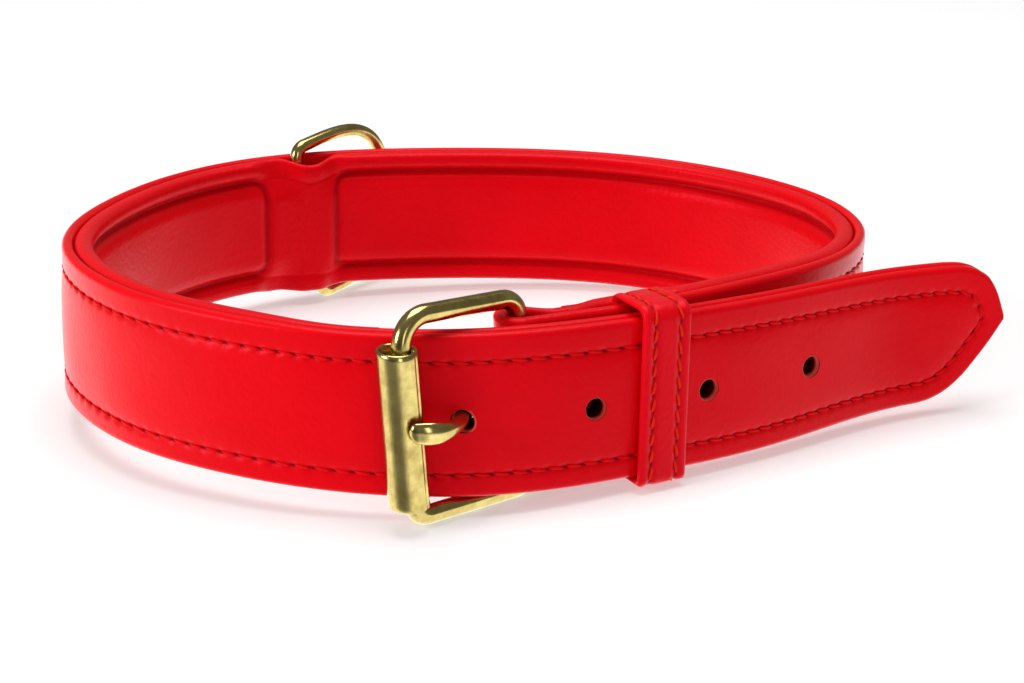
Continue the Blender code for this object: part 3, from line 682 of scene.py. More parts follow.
BRASS_DARK = (0.36, 0.27, 0.075, 1.0)
BRASS_BRIGHT = (0.66, 0.54, 0.20, 1.0)
NEEDLE_HOLE_SHADE = (0.045, 0.0, 0.001, 1.0)
GRAIN = make_grain_group()
SEWING_SHADE = make_sewing_group()


def make_leather(name, colour, shade, groove_shade_colour, roughness, bump, seam, specular=0.38):
    """Smooth dyed leather: cloudy colour, fine grain, and painted shade in the needle holes and along the
    sewn groove.

    seam is the share of the painted groove shade colour along the sewing line, 0 for an unsewn piece.
    """
    made, tree, shader = new_material(name)
    grain = add_node(tree, "Group", node_tree=GRAIN)
    cloud = link_maths(tree, "MULTIPLY_ADD", grain.outputs["Cloud"], 1.6, -0.3, clamp=True)
    surface = mix_colour(tree, cloud, colour, shade)
    rough = link_maths(tree, "MULTIPLY_ADD", grain.outputs["Cloud"], 0.16, roughness - 0.08)
    if seam > 0.0:
        dips = add_node(tree, "Group", node_tree=SEWING_SHADE)
        # Painted shade of the sewn groove: the colour darkens toward the groove shade colour near the sewing
        # line.
        groove_shade_share = link_maths(tree, "MULTIPLY", dips.outputs["Line"], seam)
        surface = mix_colour(tree, groove_shade_share, surface, groove_shade_colour)
        # Painted shade of the needle holes: the colour goes near-black at each dip.
        surface = mix_colour(tree, dips.outputs["Dip"], surface, NEEDLE_HOLE_SHADE)
        rough = link_maths(tree, "MULTIPLY_ADD", dips.outputs["Dip"], 0.4, rough)
    feed(tree, shader, (("Base Color", surface), ("Roughness", rough), ("Specular IOR Level", specular),
                        ("Specular Tint", (1.0, 0.08, 0.16, 1.0))))
    add_relief(tree, shader, grain.outputs["Height"], bump, 0.0002)
    return made


def make_thread(name, colour, dark):
    """Twisted thread: slanted plies on the piece's own UV."""
    made, tree, shader = new_material(name)
    layer = add_node(tree, "UVMap", uv_map="sewing")
    plies = add_node(tree, "TexWave", (("Scale", 2.2), ("Distortion", 0.6), ("Vector", layer.outputs["UV"])),
                     wave_type="BANDS", bands_direction="DIAGONAL")
    twist = mix_colour(tree, plies.outputs["Fac"], dark, colour)
    feed(tree, shader, (("Base Color", twist), ("Roughness", 0.55), ("Specular IOR Level", 0.25),
                        ("Specular Tint", (1.0, 0.2, 0.2, 1.0))))
    add_relief(tree, shader, plies.outputs["Fac"], 0.5, 0.0001)
    return made


def make_brass(name, stretch, smooth):
    """Satin brass: brushed streaks along one axis, with an uneven olive tarnish.

    stretch scales the streaks on each axis, and smooth is the least roughness.
    """
    made, tree, shader = new_material(name)
    place = add_node(tree, "TexCoord").outputs["Object"]
    turned = add_node(tree, "Mapping", (("Scale", stretch), ("Vector", place)))
    streak = add_node(tree, "TexNoise", (("Scale", 1.0), ("Detail", 5.0),
                                         ("Vector", turned.outputs["Vector"])))
    tarnish = add_node(tree, "TexNoise", (("Scale", 210.0), ("Detail", 6.0), ("Roughness", 0.62),
                                          ("Vector", place)))
    cloud = link_maths(tree, "MULTIPLY_ADD", tarnish.outputs["Fac"], 2.4, -0.75, clamp=True)
    bright = mix_colour(tree, cloud, BRASS_DARK, BRASS_BRIGHT)
    rough = link_maths(tree, "MULTIPLY_ADD", streak.outputs["Fac"], 0.16, smooth)
    rough = link_maths(tree, "MULTIPLY_ADD", cloud, -0.06, rough)
    feed(tree, shader, (("Base Color", bright), ("Roughness", rough), ("Metallic", 1.0)))
    add_relief(tree, shader, streak.outputs["Fac"], 0.22, 0.0001)
    return made


# The third colour of each leather is the painted shade of its sewn groove; the seam share after the bump says
# how much of it shows.
FACE = make_leather("face leather", (0.84, 0.0022, 0.006, 1.0), (0.74, 0.0016, 0.005, 1.0),
                    (0.34, 0.0005, 0.002, 1.0), 0.34, 0.30, 0.12)
LINING = make_leather("lining leather", (0.80, 0.0018, 0.006, 1.0), (0.68, 0.0012, 0.004, 1.0),
                      (0.30, 0.0005, 0.002, 1.0), 0.38, 0.45, 0.75)
KEEPER = make_leather("keeper leather", (0.86, 0.0030, 0.010, 1.0), (0.76, 0.0020, 0.008, 1.0),
                      (0.34, 0.0005, 0.002, 1.0), 0.36, 0.40, 0.12)
RAW_EDGE = make_leather("punched edge", (0.88, 0.130, 0.085, 1.0), (0.62, 0.040, 0.028, 1.0),
                        (0.30, 0.01, 0.01, 1.0), 0.65, 0.50, 0.0)
# Painted shade: the holes' walls are near-black and without gloss.
PAINTED_HOLE_SHADE = make_leather("punched wall painted shade", (0.080, 0.004, 0.003, 1.0), (0.030, 0.001, 0.001, 1.0),
                         (0.02, 0.001, 0.001, 1.0), 0.80, 0.35, 0.0, specular=0.0)
THREAD = make_thread("strap thread", (0.88, 0.003, 0.006, 1.0), (0.74, 0.002, 0.005, 1.0))
KEEPER_THREAD = make_thread("keeper thread", (0.95, 0.038, 0.006, 1.0), (0.80, 0.012, 0.004, 1.0))
ROLLER_BRASS = make_brass("roller brass", (2600.0, 2600.0, 150.0), 0.16)
WIRE_BRASS = make_brass("wire brass", (700.0, 700.0, 500.0), 0.13)


# Sewing lines

def sections_to_point(start):
    """Places of a band's sections, closer together in the pointed end."""
    pointed = TIP_PLACE - 0.0262
    return np.concatenate([np.arange(start, pointed, ALONG), np.linspace(pointed, TIP_PLACE, POINT_SECTIONS)])


def inner_line(inset):
    """Stitch line of the free end: (place, height) along the bottom, round the point and
    back along the top. It is the outline moved in by the inset, without the points that
    cross over, and spaced at an eighth of a stitch. Also returns the count of stitches."""
    pointed = TIP_PLACE - POINT[0][0] * STRAP_WIDTH
    at = np.concatenate([np.arange(0.001, pointed, 0.0005), np.arange(pointed, TIP_PLACE, 0.0002)])
    low, high, _, _ = stance(at)
    low, high = point_edges(at, low, high)
    foot = np.column_stack([at, low - STITCH_DROP_FOOT])
    top = np.column_stack([at, high - STITCH_DROP_TOP])
    outline = np.vstack([foot, top[::-1]])
    tangent = unit(np.gradient(outline, axis=0))
    inside = outline + inset * np.column_stack([-tangent[:, 1], tangent[:, 0]])
    nearest = np.full(len(inside), np.inf)
    tail = np.flatnonzero(outline[:, 0] > TIP_PLACE - STRAP_WIDTH)
    gaps = inside[tail, None, :] - outline[None, tail, :]
    nearest[tail] = np.linalg.norm(gaps, axis=2).min(axis=1)
    kept = inside[nearest > inset * 0.995]
    steps = np.linalg.norm(np.diff(kept, axis=0), axis=1)
    past = smoothstep((kept[:, 0] - KEEPER_FRONT) / 0.02)
    pitch = STITCH_PITCH + (END_PITCH - STITCH_PITCH) * past
    count = np.concatenate([[0.0], np.cumsum(steps / pitch[1:])])
    whole = math.floor(count[-1])
    even = np.linspace(0.0, whole, whole * 8 + 1)
    return interp_rows(even, count, kept), even


SEAM, SEAM_COUNT = inner_line(STITCH_INSET)


def sewing_at(places, height, low, high):
    """Each point's place, stitch count and signed distance from the seam (inside positive)."""
    at = np.broadcast_to(places[:, None], height.shape)
    count = np.empty(at.shape)
    reach = np.empty(at.shape)
    half = len(SEAM) // 2
    corner = TIP_PLACE - STRAP_WIDTH
    for row in range(at.shape[0]):
        place = at[row, 0]
        if place < corner:
            below = np.interp(place, SEAM[:half, 0], SEAM_COUNT[:half])
            above = np.interp(place, SEAM[half:, 0][::-1], SEAM_COUNT[half:][::-1])
            from_low = height[row] - low[row] - STITCH_INSET + STITCH_DROP_FOOT
            from_high = high[row] - height[row] - STITCH_INSET - STITCH_DROP_TOP
            lower = from_low < from_high
            count[row] = np.where(lower, below, above)
            reach[row] = np.where(lower, from_low, from_high)
        else:
            tail = SEAM[:, 0] > corner - 0.01
            points = np.column_stack([at[row], height[row]])
            gaps = np.linalg.norm(points[:, None, :] - SEAM[None, tail, :], axis=2)
            best = gaps.argmin(axis=1)
            count[row] = SEAM_COUNT[tail][best]
            left = SEAM[tail][best]
            after = SEAM[tail][np.minimum(best + 1, tail.sum() - 1)]
            ahead = after - SEAM[tail][np.maximum(best - 1, 0)]
            side = ahead[:, 0] * (points[:, 1] - left[:, 1]) - ahead[:, 1] * (points[:, 0] - left[:, 0])
            reach[row] = gaps.min(axis=1) * np.sign(side)
    return at, count, reach


def face_relief(reach, count, plump):
    """Sunk depth of a sewn face: least in its middle, most along the seam.

    The level falls off exponentially from the seam on both sides, a narrow bell makes the
    groove, and a cosine of the stitch count pulls it in at each needle hole.
    """
    inside = np.clip(reach, 0.0, None)
    outside = np.clip(-reach, 0.0, None)
    level = np.where(reach > 0.0, 0.70 * np.exp(-inside / 0.0026),
                     0.26 + 0.44 * np.exp(-outside / 0.0013))
    groove = 0.16 * np.exp(-(reach / 0.0007) ** 2)
    pulled = 0.20 * np.cos(math.tau * count) * np.exp(-(reach / 0.0010) ** 2)
    return (level + groove + pulled) * plump * 0.001


# Bands

def across_shares(count):
    """Shares of the band's height, closer together near the two seams."""
    fine = np.linspace(0.0, 1.0, 1201)
    dense = np.ones(fine.shape)
    for middle, extra, reach in ((0.15, 2.2, 0.035), (0.85, 2.2, 0.035), (0.0, 1.2, 0.05), (1.0, 1.2, 0.05)):
        dense += extra * np.exp(-((fine - middle) / reach) ** 2)
    total = np.concatenate([[0.0], np.cumsum((dense[1:] + dense[:-1]) / 2.0)])
    return np.interp(np.linspace(0.0, total[-1], count), total, fine)


def band_rings(low, high, thickness, sink, back, columns=66):
    """Section of a band: the sunk face, a rounded edge, the back and the other edge.

    Returns depth and height (n, m). sink gives the face's depth for a grid of heights. An
    edge is half an ellipse, from the face's depth to the band's thickness.
    """
    inset = np.minimum(BAND_EDGE, 0.4 * (high - low))[:, None]
    foot = low[:, None] + inset
    flat = (high - low)[:, None] - 2.0 * inset
    face_height = foot + flat * across_shares(columns)[None, :]
    face_depth = sink(face_height)
    turn = np.linspace(0.0, math.pi, 10)[1:-1][None, :]
    roll = inset * (1.0 - np.sin(turn))
    round_off = (1.0 - np.cos(turn)) / 2.0
    top_depth = face_depth[:, -1:] + (thickness - face_depth[:, -1:]) * round_off
    back_height = foot + flat * np.linspace(1.0, 0.0, back)[None, :]
    back_depth = np.full(back_height.shape, thickness)
    bottom_depth = face_depth[:, :1] + (thickness - face_depth[:, :1]) * round_off[:, ::-1]
    depth = np.hstack([face_depth, top_depth, back_depth, bottom_depth])
    height = np.hstack([face_height, high[:, None] - roll, back_height, low[:, None] + roll[:, ::-1]])
    return depth, height


def turned_depth(at):
    """Depth of the turned-under layer's middle behind the outer layer's middle."""
    apart = 2.0 * (HEEL_RADIUS + STRAP_THICKNESS / 2.0)
    together = STRAP_THICKNESS + LAYER_GAP
    return together + (apart - together) * (1.0 - smoothstep(at / (0.8 * TURN_LENGTH)))


def make_outer_strap():
    """The turned-under end, the fold round the heel bar, the loop and the free end."""
    half = STRAP_THICKNESS / 2.0
    turned = np.linspace(TURN_LENGTH, 0.0, 18)
    main = sections_to_point(0.0)
    angles = np.radians(np.linspace(6.0, 174.0, 22))
    rays = np.cos(angles)[:, None] * ROUTE.inward(0.0) - np.sin(angles)[:, None] * ROUTE.tangent(0.0)
    centre = np.vstack([
        ROUTE.offset(turned, half + turned_depth(turned) + half),
        HEEL_AXIS + rays * FOLD_RADIUS,
        ROUTE.point(main),
    ])
    normal = np.vstack([-ROUTE.inward(turned), -rays, ROUTE.inward(main)])
    at = np.concatenate([turned, np.zeros(len(angles)), main])
    folded = (np.arange(len(at)) < len(turned) + len(angles))[:, None]
    low, high, lean, sway = stance(at)
    low, high = point_edges(at, low, high)

    def sink(height):
        grid, count, reach = sewing_at(at, height, low, high)
        plump = np.where(folded, 0.25, 1.0)
        uneven = 0.10 * waves(grid, height, 3, 0.034) * smoothstep(reach / 0.004)
        return face_relief(reach, count, plump) + np.clip(0.10 + uneven, 0.0, None) * 0.001 * plump

    depth, height = band_rings(low, high, STRAP_THICKNESS, sink, 10)
    # The sewing UV places the painted shade of the needle holes and of the sewn groove.
    _, count, reach = sewing_at(at, height, low, high)
    reach = np.where((depth < STRAP_THICKNESS * 0.45) & ~folded, reach, 0.01)
    uv = np.stack([count, reach * 1000.0], axis=-1)
    rings = place_rings(centre, normal, depth, height, lean, sway)
    strap = loft("strap_leather", rings, FACE, uv=uv)
    carve(strap, hole_cutter())
    carve(strap, slot_cutter())
    return strap


def make_backing():
    """Second layer of the free end; its sewn face looks at the neck."""
    at = sections_to_point(BACKING_START)
    low, high, lean, sway = stance(at)
    low, high = point_edges(at, low, high)

    def sink(height):
        _, count, reach = sewing_at(at, height, low, high)
        return face_relief(reach, count + 0.5, 0.8)

    depth, height = band_rings(low, high, BACKING_THICKNESS, sink, 8)
    # The sewing UV places the painted shade of the backing's needle holes and sewn groove.
    _, count, reach = sewing_at(at, height, low, high)
    reach = np.where(depth < BACKING_THICKNESS * 0.5, reach, 0.01)
    uv = np.stack([count + 0.5, reach * 1000.0], axis=-1)
    centre = ROUTE.offset(at, np.full(at.shape, FREE_THICKNESS))
    rings = place_rings(centre, -ROUTE.inward(at), depth, height, lean, sway)
    backing = loft("backing_leather", rings, FACE, uv=uv)
    carve(backing, hole_cutter())
    return backing


def tongue_route():
    """Plan points of the tongue: its eye, the hole, and the roller that it rests on."""
    outward_way = -ROUTE.inward(FIRST_HOLE)
    along = ROUTE.tangent(FIRST_HOLE)
    middle = ROUTE.offset(FIRST_HOLE, FREE_THICKNESS / 2.0)
    slant = unit(outward_way - TONGUE_SLANT * along)
    eye = HEEL_AXIS + unit(middle - HEEL_AXIS) * (HEEL_RADIUS + TONGUE_EYE_WALL / 2.0)
    off_roller = ROLLER_RADIUS + LEAF_THINNING / 2.0 * TONGUE_DIAMETER + 2.0 * LAYER_GAP
    rest = ROLLER_AXIS - ROUTE.inward(ROLLER_PLACE) * off_roller
    points = [eye, middle - slant * FREE_THICKNESS * 0.5, middle + slant * FREE_THICKNESS * 0.7]
    points += [rest + along * ROLLER_DIAMETER * share for share in LEAF_ON_ROLLER]
    return points, middle, slant


def hole_rows():
    """Plan centre, plan axis, height, lean and sway of each hole."""
    _, middle, slant = tongue_route()
    rows = []
    for number in range(HOLE_COUNT):
        at = FIRST_HOLE + number * HOLE_PITCH
        low, high, lean, sway = stance(at)
        centre = middle if number == 0 else ROUTE.offset(at, FREE_THICKNESS / 2.0)
        axis = slant if number == 0 else ROUTE.inward(at)
        rows.append((centre, axis, low + HOLE_HEIGHT * (high - low), lean, sway))
    return rows


def hole_ring(row, reach, radius, sides=40):
    """Circle round a hole's axis, at a distance along the axis and of a radius."""
    centre, axis, middle, lean, sway = row
    angles = turns(sides)
    across = np.array([-axis[1], axis[0]])
    plan = centre + axis * reach
    height = middle + radius * np.sin(angles)
    run = radius * np.cos(angles)
    up = height - MIDDLE
    return np.column_stack([
        plan[0] + across[0] * run + sway * up,
        plan[1] + across[1] * run + lean * up,
        height,
    ]) + STAND


def hole_cutter():
    """Round punches through both layers of the free end."""
    reach = FREE_THICKNESS
    radius = HOLE_DIAMETER / 2.0
    punches = [[hole_ring(row, end, radius) for end in (-reach, reach)] for row in hole_rows()]
    return joined("punch", [(punch, False) for punch in punches], FACE)


def slot_cutter():
    """Slot through both layers of the fold, where the tongue's eye turns on the bar."""
    along = ROUTE.tangent(0.0)
    inward = ROUTE.inward(0.0)
    form = np.array(SLOT_FORM) * (FOLD_RADIUS, TONGUE_SLOT / 2.0)
    outline = np.vstack([form * (1.0, -1.0), form[::-1]])
    middle = hole_rows()[0][2]
    rings = []
    for depth in (-FOLD_RADIUS - LAYER_GAP, 2.0 * FOLD_RADIUS):
        plan = HEEL_AXIS + along * outline[:, :1] + inward * depth
        rings.append(leaned(np.column_stack([plan, middle + outline[:, 1]])))
    return joined("slot", [(np.array(rings), False)], FACE)


def leaned(points):
    """Points near the buckle, sheared with it and set on the row's frame."""
    points = np.array(points, dtype=float)
    up = points[..., 2] - MIDDLE
    points[..., 0] += SWAY * up
    points[..., 1] += LEAN * up
    return points + STAND


def sleeves(name, finish, profiles):
    """Closed sleeve in each hole, from its profile of (depth behind the face, radius)."""
    groups = []
    for number, (row, profile) in enumerate(zip(hole_rows(), profiles)):
        front = 1.0 if number == 0 else -1.0
        rings = [hole_ring(row, front * (FREE_THICKNESS / 2.0 - back), radius) for back, radius in profile]
        groups.append((rings, True))
    return joined(name, groups, finish)


def make_hole_edges():
    """A rolled, torn lip at each hole's mouth, on a thin ring."""
    radius = HOLE_DIAMETER / 2.0
    lip = [((0.25 + back) * 0.001, radius - 0.00025 + out * 0.001) for out, back in SLEEVE_LIP]
    profile = lip + [(0.0017, radius - 0.00045), (0.0017, radius + 0.00015)]
    return sleeves("hole_edges", RAW_EDGE, [profile] * HOLE_COUNT)


def make_painted_hole_shade():
    """Painted shade in each hole: a near-black wall without gloss that narrows toward the back, in the first
    one down to the tongue's shank."""
    radius = HOLE_DIAMETER / 2.0
    wide = radius - 0.0004
    outer = radius + 0.0002
    profiles = []
    for closing in (0.0015, *[0.0005] * (HOLE_COUNT - 1)):
        narrow = radius - closing
        wall = ((0.0016, wide), (0.0030, wide), (0.0036, narrow), (0.0060, narrow))
        profiles.append((*wall, (0.0060, outer), (0.0016, outer)))
    return sleeves("painted_hole_shade", PAINTED_HOLE_SHADE, profiles)


def bump(at, centre, reach, ramp):
    """1 within a reach of the centre, eased to 0 over a ramp."""
    return 1.0 - smoothstep((abs(at - centre) - reach) / ramp)


def pad_distance(at, from_edge, start, stop):
    """Distance inside a pad's rounded rectangle, from its two sewn rows and its ends."""
    side = np.clip(PAD_CORNER - from_edge + PAD_INSET, 0.0, None)
    end = np.clip(PAD_CORNER - np.minimum(at - start, stop - at), 0.0, None)
    return PAD_CORNER - np.hypot(side, end)


def make_lining():
    """Padded lining: a rolled edge, a sewn groove and, inside it, two crowned pads."""
    count = int((PAD_END - PAD_START) / ALONG)
    at = np.linspace(PAD_START - LINING_REACH, BACKING_START + LINING_LAP, count)
    low, high, lean, sway = stance(at)
    seat = bump(at, SEAT_AT, RING_SEAT - PAD_RAMP / 3.0, PAD_RAMP)
    drop = PAD_DROP * smoothstep((at - 0.04) / 0.05) * smoothstep((PAD_END - at) / 0.05)
    low = low - drop - SEAT_DROP * seat
    high = high - BAR_DIP * bump(at, RING_AT, 0.0, 0.0105)
    tall = high - low
    step = (KEEPER_SKIVED + LAYER_GAP) * bump(at, KEEPER_REAR, KEEPER_WIDTH * 0.6, PAD_RAMP)
    over_bar = bump(at, RING_AT, RING_WIRE * 0.5, 0.0085)
    thin = 1.0 - (1.0 - PAD_THINNED) * smoothstep((at - PAD_END) / PAD_TAPER + 1.0)
    thin = thin * (1.0 - (1.0 - SEAT_THINNED) * seat)
    thin = thin * (0.84 + 0.16 * smoothstep((at - PAD_START) / 0.010))

    foot = low[:, None] + LINING_EDGE
    flat_tall = (tall - 2.0 * LINING_EDGE)[:, None]
    inner = foot + flat_tall * across_shares(84)[None, :]
    from_edge = np.minimum(inner - low[:, None], high[:, None] - inner)
    grid = np.broadcast_to(at[:, None], inner.shape)
    past_keeper = KEEPER_REAR + KEEPER_WIDTH / 2.0 + 0.001
    first = pad_distance(grid, from_edge, past_keeper, SEAT_AT - RING_SEAT)
    second = pad_distance(grid, from_edge, SEAT_AT + RING_SEAT, PAD_END - 0.002)
    inside = np.maximum(first, second)
    sewn = PAD_FACE[4][0]
    groove = smooth_rows(PAD_FACE, 1, sewn)
    crown = smooth_rows(PAD_FACE, 1, np.clip(sewn + inside / STRAP_WIDTH, sewn, 0.5))
    flat = PAD_FLAT - (PAD_FLAT - groove) * np.exp(-(np.clip(-inside, 0.0, None) / 0.0022) ** 2)
    sewn_in = 0.17 * np.exp(-(inside / 0.0013) ** 2)
    edge_form = smooth_rows(PAD_FACE, 1, from_edge / STRAP_WIDTH)
    inner_share = np.where(from_edge < PAD_INSET, edge_form, np.where(inside > 0.0, crown, flat))
    puckers = 0.010 * waves(grid, inner * 0.4, 11, 0.009) * smoothstep(1.0 - np.abs(inside) / 0.006)
    soft = 0.012 * waves(grid, inner, 12, 0.030) * smoothstep(inside / 0.006)
    inner_depth = (inner_share + puckers + soft - sewn_in) * PAD_THICKNESS * thin[:, None]

    turn = np.linspace(0.0, math.pi, 12)[1:-1][None, :]
    roll = LINING_EDGE * (1.0 - np.sin(turn) ** 0.8)
    round_off = (1.0 + np.cos(turn)) / 2.0
    outer = foot + flat_tall * np.linspace(1.0, 0.0, 8)[None, :]
    depth = np.hstack([inner_depth, round_off * inner_depth[:, -1:], np.zeros(outer.shape),
                       round_off[:, ::-1] * inner_depth[:, :1]])
    height = np.hstack([inner, high[:, None] - roll, outer, low[:, None] + roll[:, ::-1]])

    # The sewing UV's V, measured from the pad's sewn row, places the painted shade of that groove.
    from_seam = np.full(height.shape, 10.0)
    from_seam[:, :inner.shape[1]] = inside * 1000.0
    uv = np.stack([np.full(height.shape, 0.5), from_seam], axis=-1)
    away = np.minimum(height - low[:, None], high[:, None] - height)
    crosses = over_bar[:, None] + (seat - over_bar)[:, None] * smoothstep(away / 0.012)
    depth = depth + STRAP_THICKNESS + LAYER_GAP + step[:, None] + (RING_WIRE + LAYER_GAP) * crosses
    rings = place_rings(ROUTE.point(at), ROUTE.inward(at), depth, height, lean, sway)
    return loft("lining_leather", rings, LINING, uv=uv)


# Stitches

def stitch_shells(middles, ahead, out, length, width, rise, tilt=0.0):
    """Tapered threads: ellipses carried along short arches that dive at both ends.

    middles, ahead and out are (n, 3): centres, unit directions and unit normals.
    """
    run = np.linspace(-1.0, 1.0, 9)[None, :, None]
    angles = turns(8)
    side = np.cross(ahead, out)
    along = ahead * math.cos(tilt) + side * math.sin(tilt)
    side = side * math.cos(tilt) - ahead * math.sin(tilt)
    girth = np.clip((1.0 - np.abs(run) ** 3.0) ** 0.5, 0.28, None) * width / 2.0
    lift = rise * (1.0 - 1.7 * np.abs(run) ** 2.6)
    middles, along, side, out = (part[:, None, :] for part in (middles, along, side, out))
    spine = middles + along * (run * length / 2.0) + out * lift
    across = (side * girth)[:, :, None, :] * np.cos(angles)[:, None]
    upward = 0.72 * (out * girth)[:, :, None, :] * np.sin(angles)[:, None]
    rings = spine[:, :, None, :] + across + upward
    uv = np.stack(np.broadcast_arrays(run[0] * 2.0, angles / math.tau * 1.5), axis=-1)
    return rings, np.broadcast_to(uv, (*rings.shape[:3], 2))


def on_band(at, height, depth):
    """Points of the band at places, heights and depths."""
    _, _, lean, sway = stance(at)
    up = height - MIDDLE
    plan = ROUTE.offset(at, depth)
    return np.column_stack([plan[:, 0] + sway * up, plan[:, 1] + lean * up, height]) + STAND


def seam_frames(at, height, depth, outward_sign):
    """Centres, directions and outward normals along a line of (place, height)."""
    middle = on_band(at, height, depth)
    tangent = unit(np.gradient(middle, axis=0))
    out = np.column_stack([ROUTE.inward(at) * outward_sign, np.zeros(len(at))])
    out -= (out * tangent).sum(axis=1)[:, None] * tangent
    return middle, tangent, unit(out)


def thread_piece(name, runs, finish):
    """One object from runs of stitches, each run (rings, uv) as stitch_shells gives."""
    groups = []
    uvs = []
    for rings, uv in runs:
        groups += [(ring, False) for ring in rings]
        uvs += list(uv)
    return joined(name, groups, finish, uvs)


def make_strap_stitches():
    """Stitches of the seam on the strap's face and on the backing's."""
    whole = int(SEAM_COUNT[-1])
    middle_count = np.arange(whole) + 0.5
    at = np.interp(middle_count, SEAM_COUNT, SEAM[:, 0])
    height = np.interp(middle_count, SEAM_COUNT, SEAM[:, 1])
    front = seam_frames(at, height, np.full(at.shape, 0.00078), -1.0)
    shown = at > 0.004
    face = stitch_shells(*(part[shown] for part in front), STITCH_LENGTH, STITCH_WIDTH, STITCH_RISE,
                         STITCH_SLANT)
    behind = seam_frames(at, height, np.full(at.shape, FREE_THICKNESS - 0.00075), 1.0)
    sewn = at > BACKING_START + 0.004
    back = stitch_shells(*(part[sewn] for part in behind), STITCH_LENGTH, STITCH_WIDTH, BACK_RISE,
                         BACK_SLANT)
    return thread_piece("strap_stitches", [face, back], THREAD)


# Keeper

def ring_directions(path):
    """Differences between each point's neighbours on a closed path."""
    return np.roll(path, -1, axis=0) - np.roll(path, 1, axis=0)


def keeper_outline(rear_reach, bottom, top):
    """Rounded rectangle round both ends of the strap, as (depth, height) of its middle
    line with outward normals, evenly spaced from the rear's middle."""
    half = KEEPER_THICKNESS / 2.0
    left = -half
    right = rear_reach + KEEPER_SKIVED / 2.0
    low = bottom - KEEPER_FOOT + half
    high = top + half * 0.9
    corners = (
        (right - KEEPER_FOLD, high - KEEPER_FOLD, 0.0, KEEPER_FOLD),
        (left + KEEPER_BEND, high - KEEPER_BEND, 90.0, KEEPER_BEND),
        (left + KEEPER_FOLD, low + KEEPER_FOLD, 180.0, KEEPER_FOLD),
        (right - KEEPER_FOLD, low + KEEPER_FOLD, 270.0, KEEPER_FOLD),
    )
    start = (right, (low + high) / 2.0)
    points = [start]
    for x, y, begin, radius in corners:
        for angle in np.radians(begin + np.linspace(0.0, 90.0, 9)):
            points.append((x + radius * math.cos(angle), y + radius * math.sin(angle)))
    length = length_along([*points, start])
    even = np.linspace(0.0, length[-1], KEEPER_STEPS + 1)[:-1]
    path = interp_rows(even, length, [*points, start])
    tangent = unit(ring_directions(path))
    normal = np.column_stack([tangent[:, 1], -tangent[:, 0]])
    return path, normal, even, length[-1]


def keeper_frame():
    """Plan start, plan direction to the rear, and reach at the keeper's two sides."""
    rows = []
    for side in (-0.5, 0.5):
        at = KEEPER_FRONT + KEEPER_WIDTH * side
        front = ROUTE.offset(at, -2.0 * LAYER_GAP)
        rear = ROUTE.offset(behind_keeper(at), STRAP_THICKNESS + LAYER_GAP)
        reach = np.linalg.norm(rear - front)
        rows.append((front, (rear - front) / reach, reach))
    return rows


def keeper_surface(width_share, lift):
    """Points of the keeper round its outline at a share of its width (-0.5 to 0.5),
    lifted from its middle line by a distance. Also returns each point's distance along
    the outline, and the outline's length."""
    bottom = min(stance(KEEPER_FRONT)[0], stance(KEEPER_REAR)[0]) - 2.0 * LAYER_GAP
    top = max(stance(KEEPER_FRONT)[1], stance(KEEPER_REAR)[1]) + 2.0 * LAYER_GAP
    near, far = keeper_frame()
    share = width_share + 0.5
    start = near[0] * (1.0 - share) + far[0] * share
    across = near[1] * (1.0 - share) + far[1] * share
    reach = near[2] * (1.0 - share) + far[2] * share
    path, normal, even, around = keeper_outline(reach, bottom, top)
    rear = smoothstep((path[:, 0] - 0.5 * reach) / (0.5 * reach))
    slim = 1.0 - (1.0 - KEEPER_SKIVED / KEEPER_THICKNESS) * rear
    foot = smoothstep((bottom - path[:, 1]) / 0.0004)
    slim = np.where(np.abs(normal[:, 1]) > 0.5, 1.0 - 0.35 * foot, 1.0) * slim
    section = path + normal * (lift * slim)[:, None]
    plan = start + across * section[:, :1]
    up = section[:, 1] - MIDDLE
    points = np.column_stack([plan[:, 0], plan[:, 1] + LEAN * up, section[:, 1]]) + STAND
    return points, even, around


def make_keeper():
    """Leather loop: a band with rolled edges and two sunk seams, carried round."""
    outer = np.linspace(-0.5, 0.5, 27)
    columns = np.concatenate([outer, np.linspace(0.5, -0.5, 9)[1:-1]])
    outside = np.arange(len(columns)) < len(outer)
    width = columns * KEEPER_WIDTH
    edge = 1.0 - np.clip((np.abs(columns) - 0.40) / 0.10, 0.0, 1.0) ** 2
    seam = np.minimum(np.abs(width - KEEPER_SEAMS[0]), np.abs(width - KEEPER_SEAMS[1]))
    half = KEEPER_THICKNESS / 2.0
    crown = half * np.sqrt(np.clip(edge, 0.0, 1.0)) - 0.00045 * np.exp(-(seam / 0.0008) ** 2)
    rings = []
    uv = []
    lifts = np.where(outside, crown, -0.9 * half)
    for share, lift, distance in zip(columns, lifts, np.where(outside, seam, 0.01)):
        points, even, _ = keeper_surface(share, lift)
        rings.append(points)
        # The sewing UV places the painted shade of the keeper's needle holes and sewn grooves.
        uv.append(np.column_stack([even / KEEPER_PITCH, np.full(len(even), distance * 1000.0)]))
    return loft("keeper_leather", np.stack(rings, axis=1), KEEPER, closed=True, uv=np.stack(uv, axis=1))


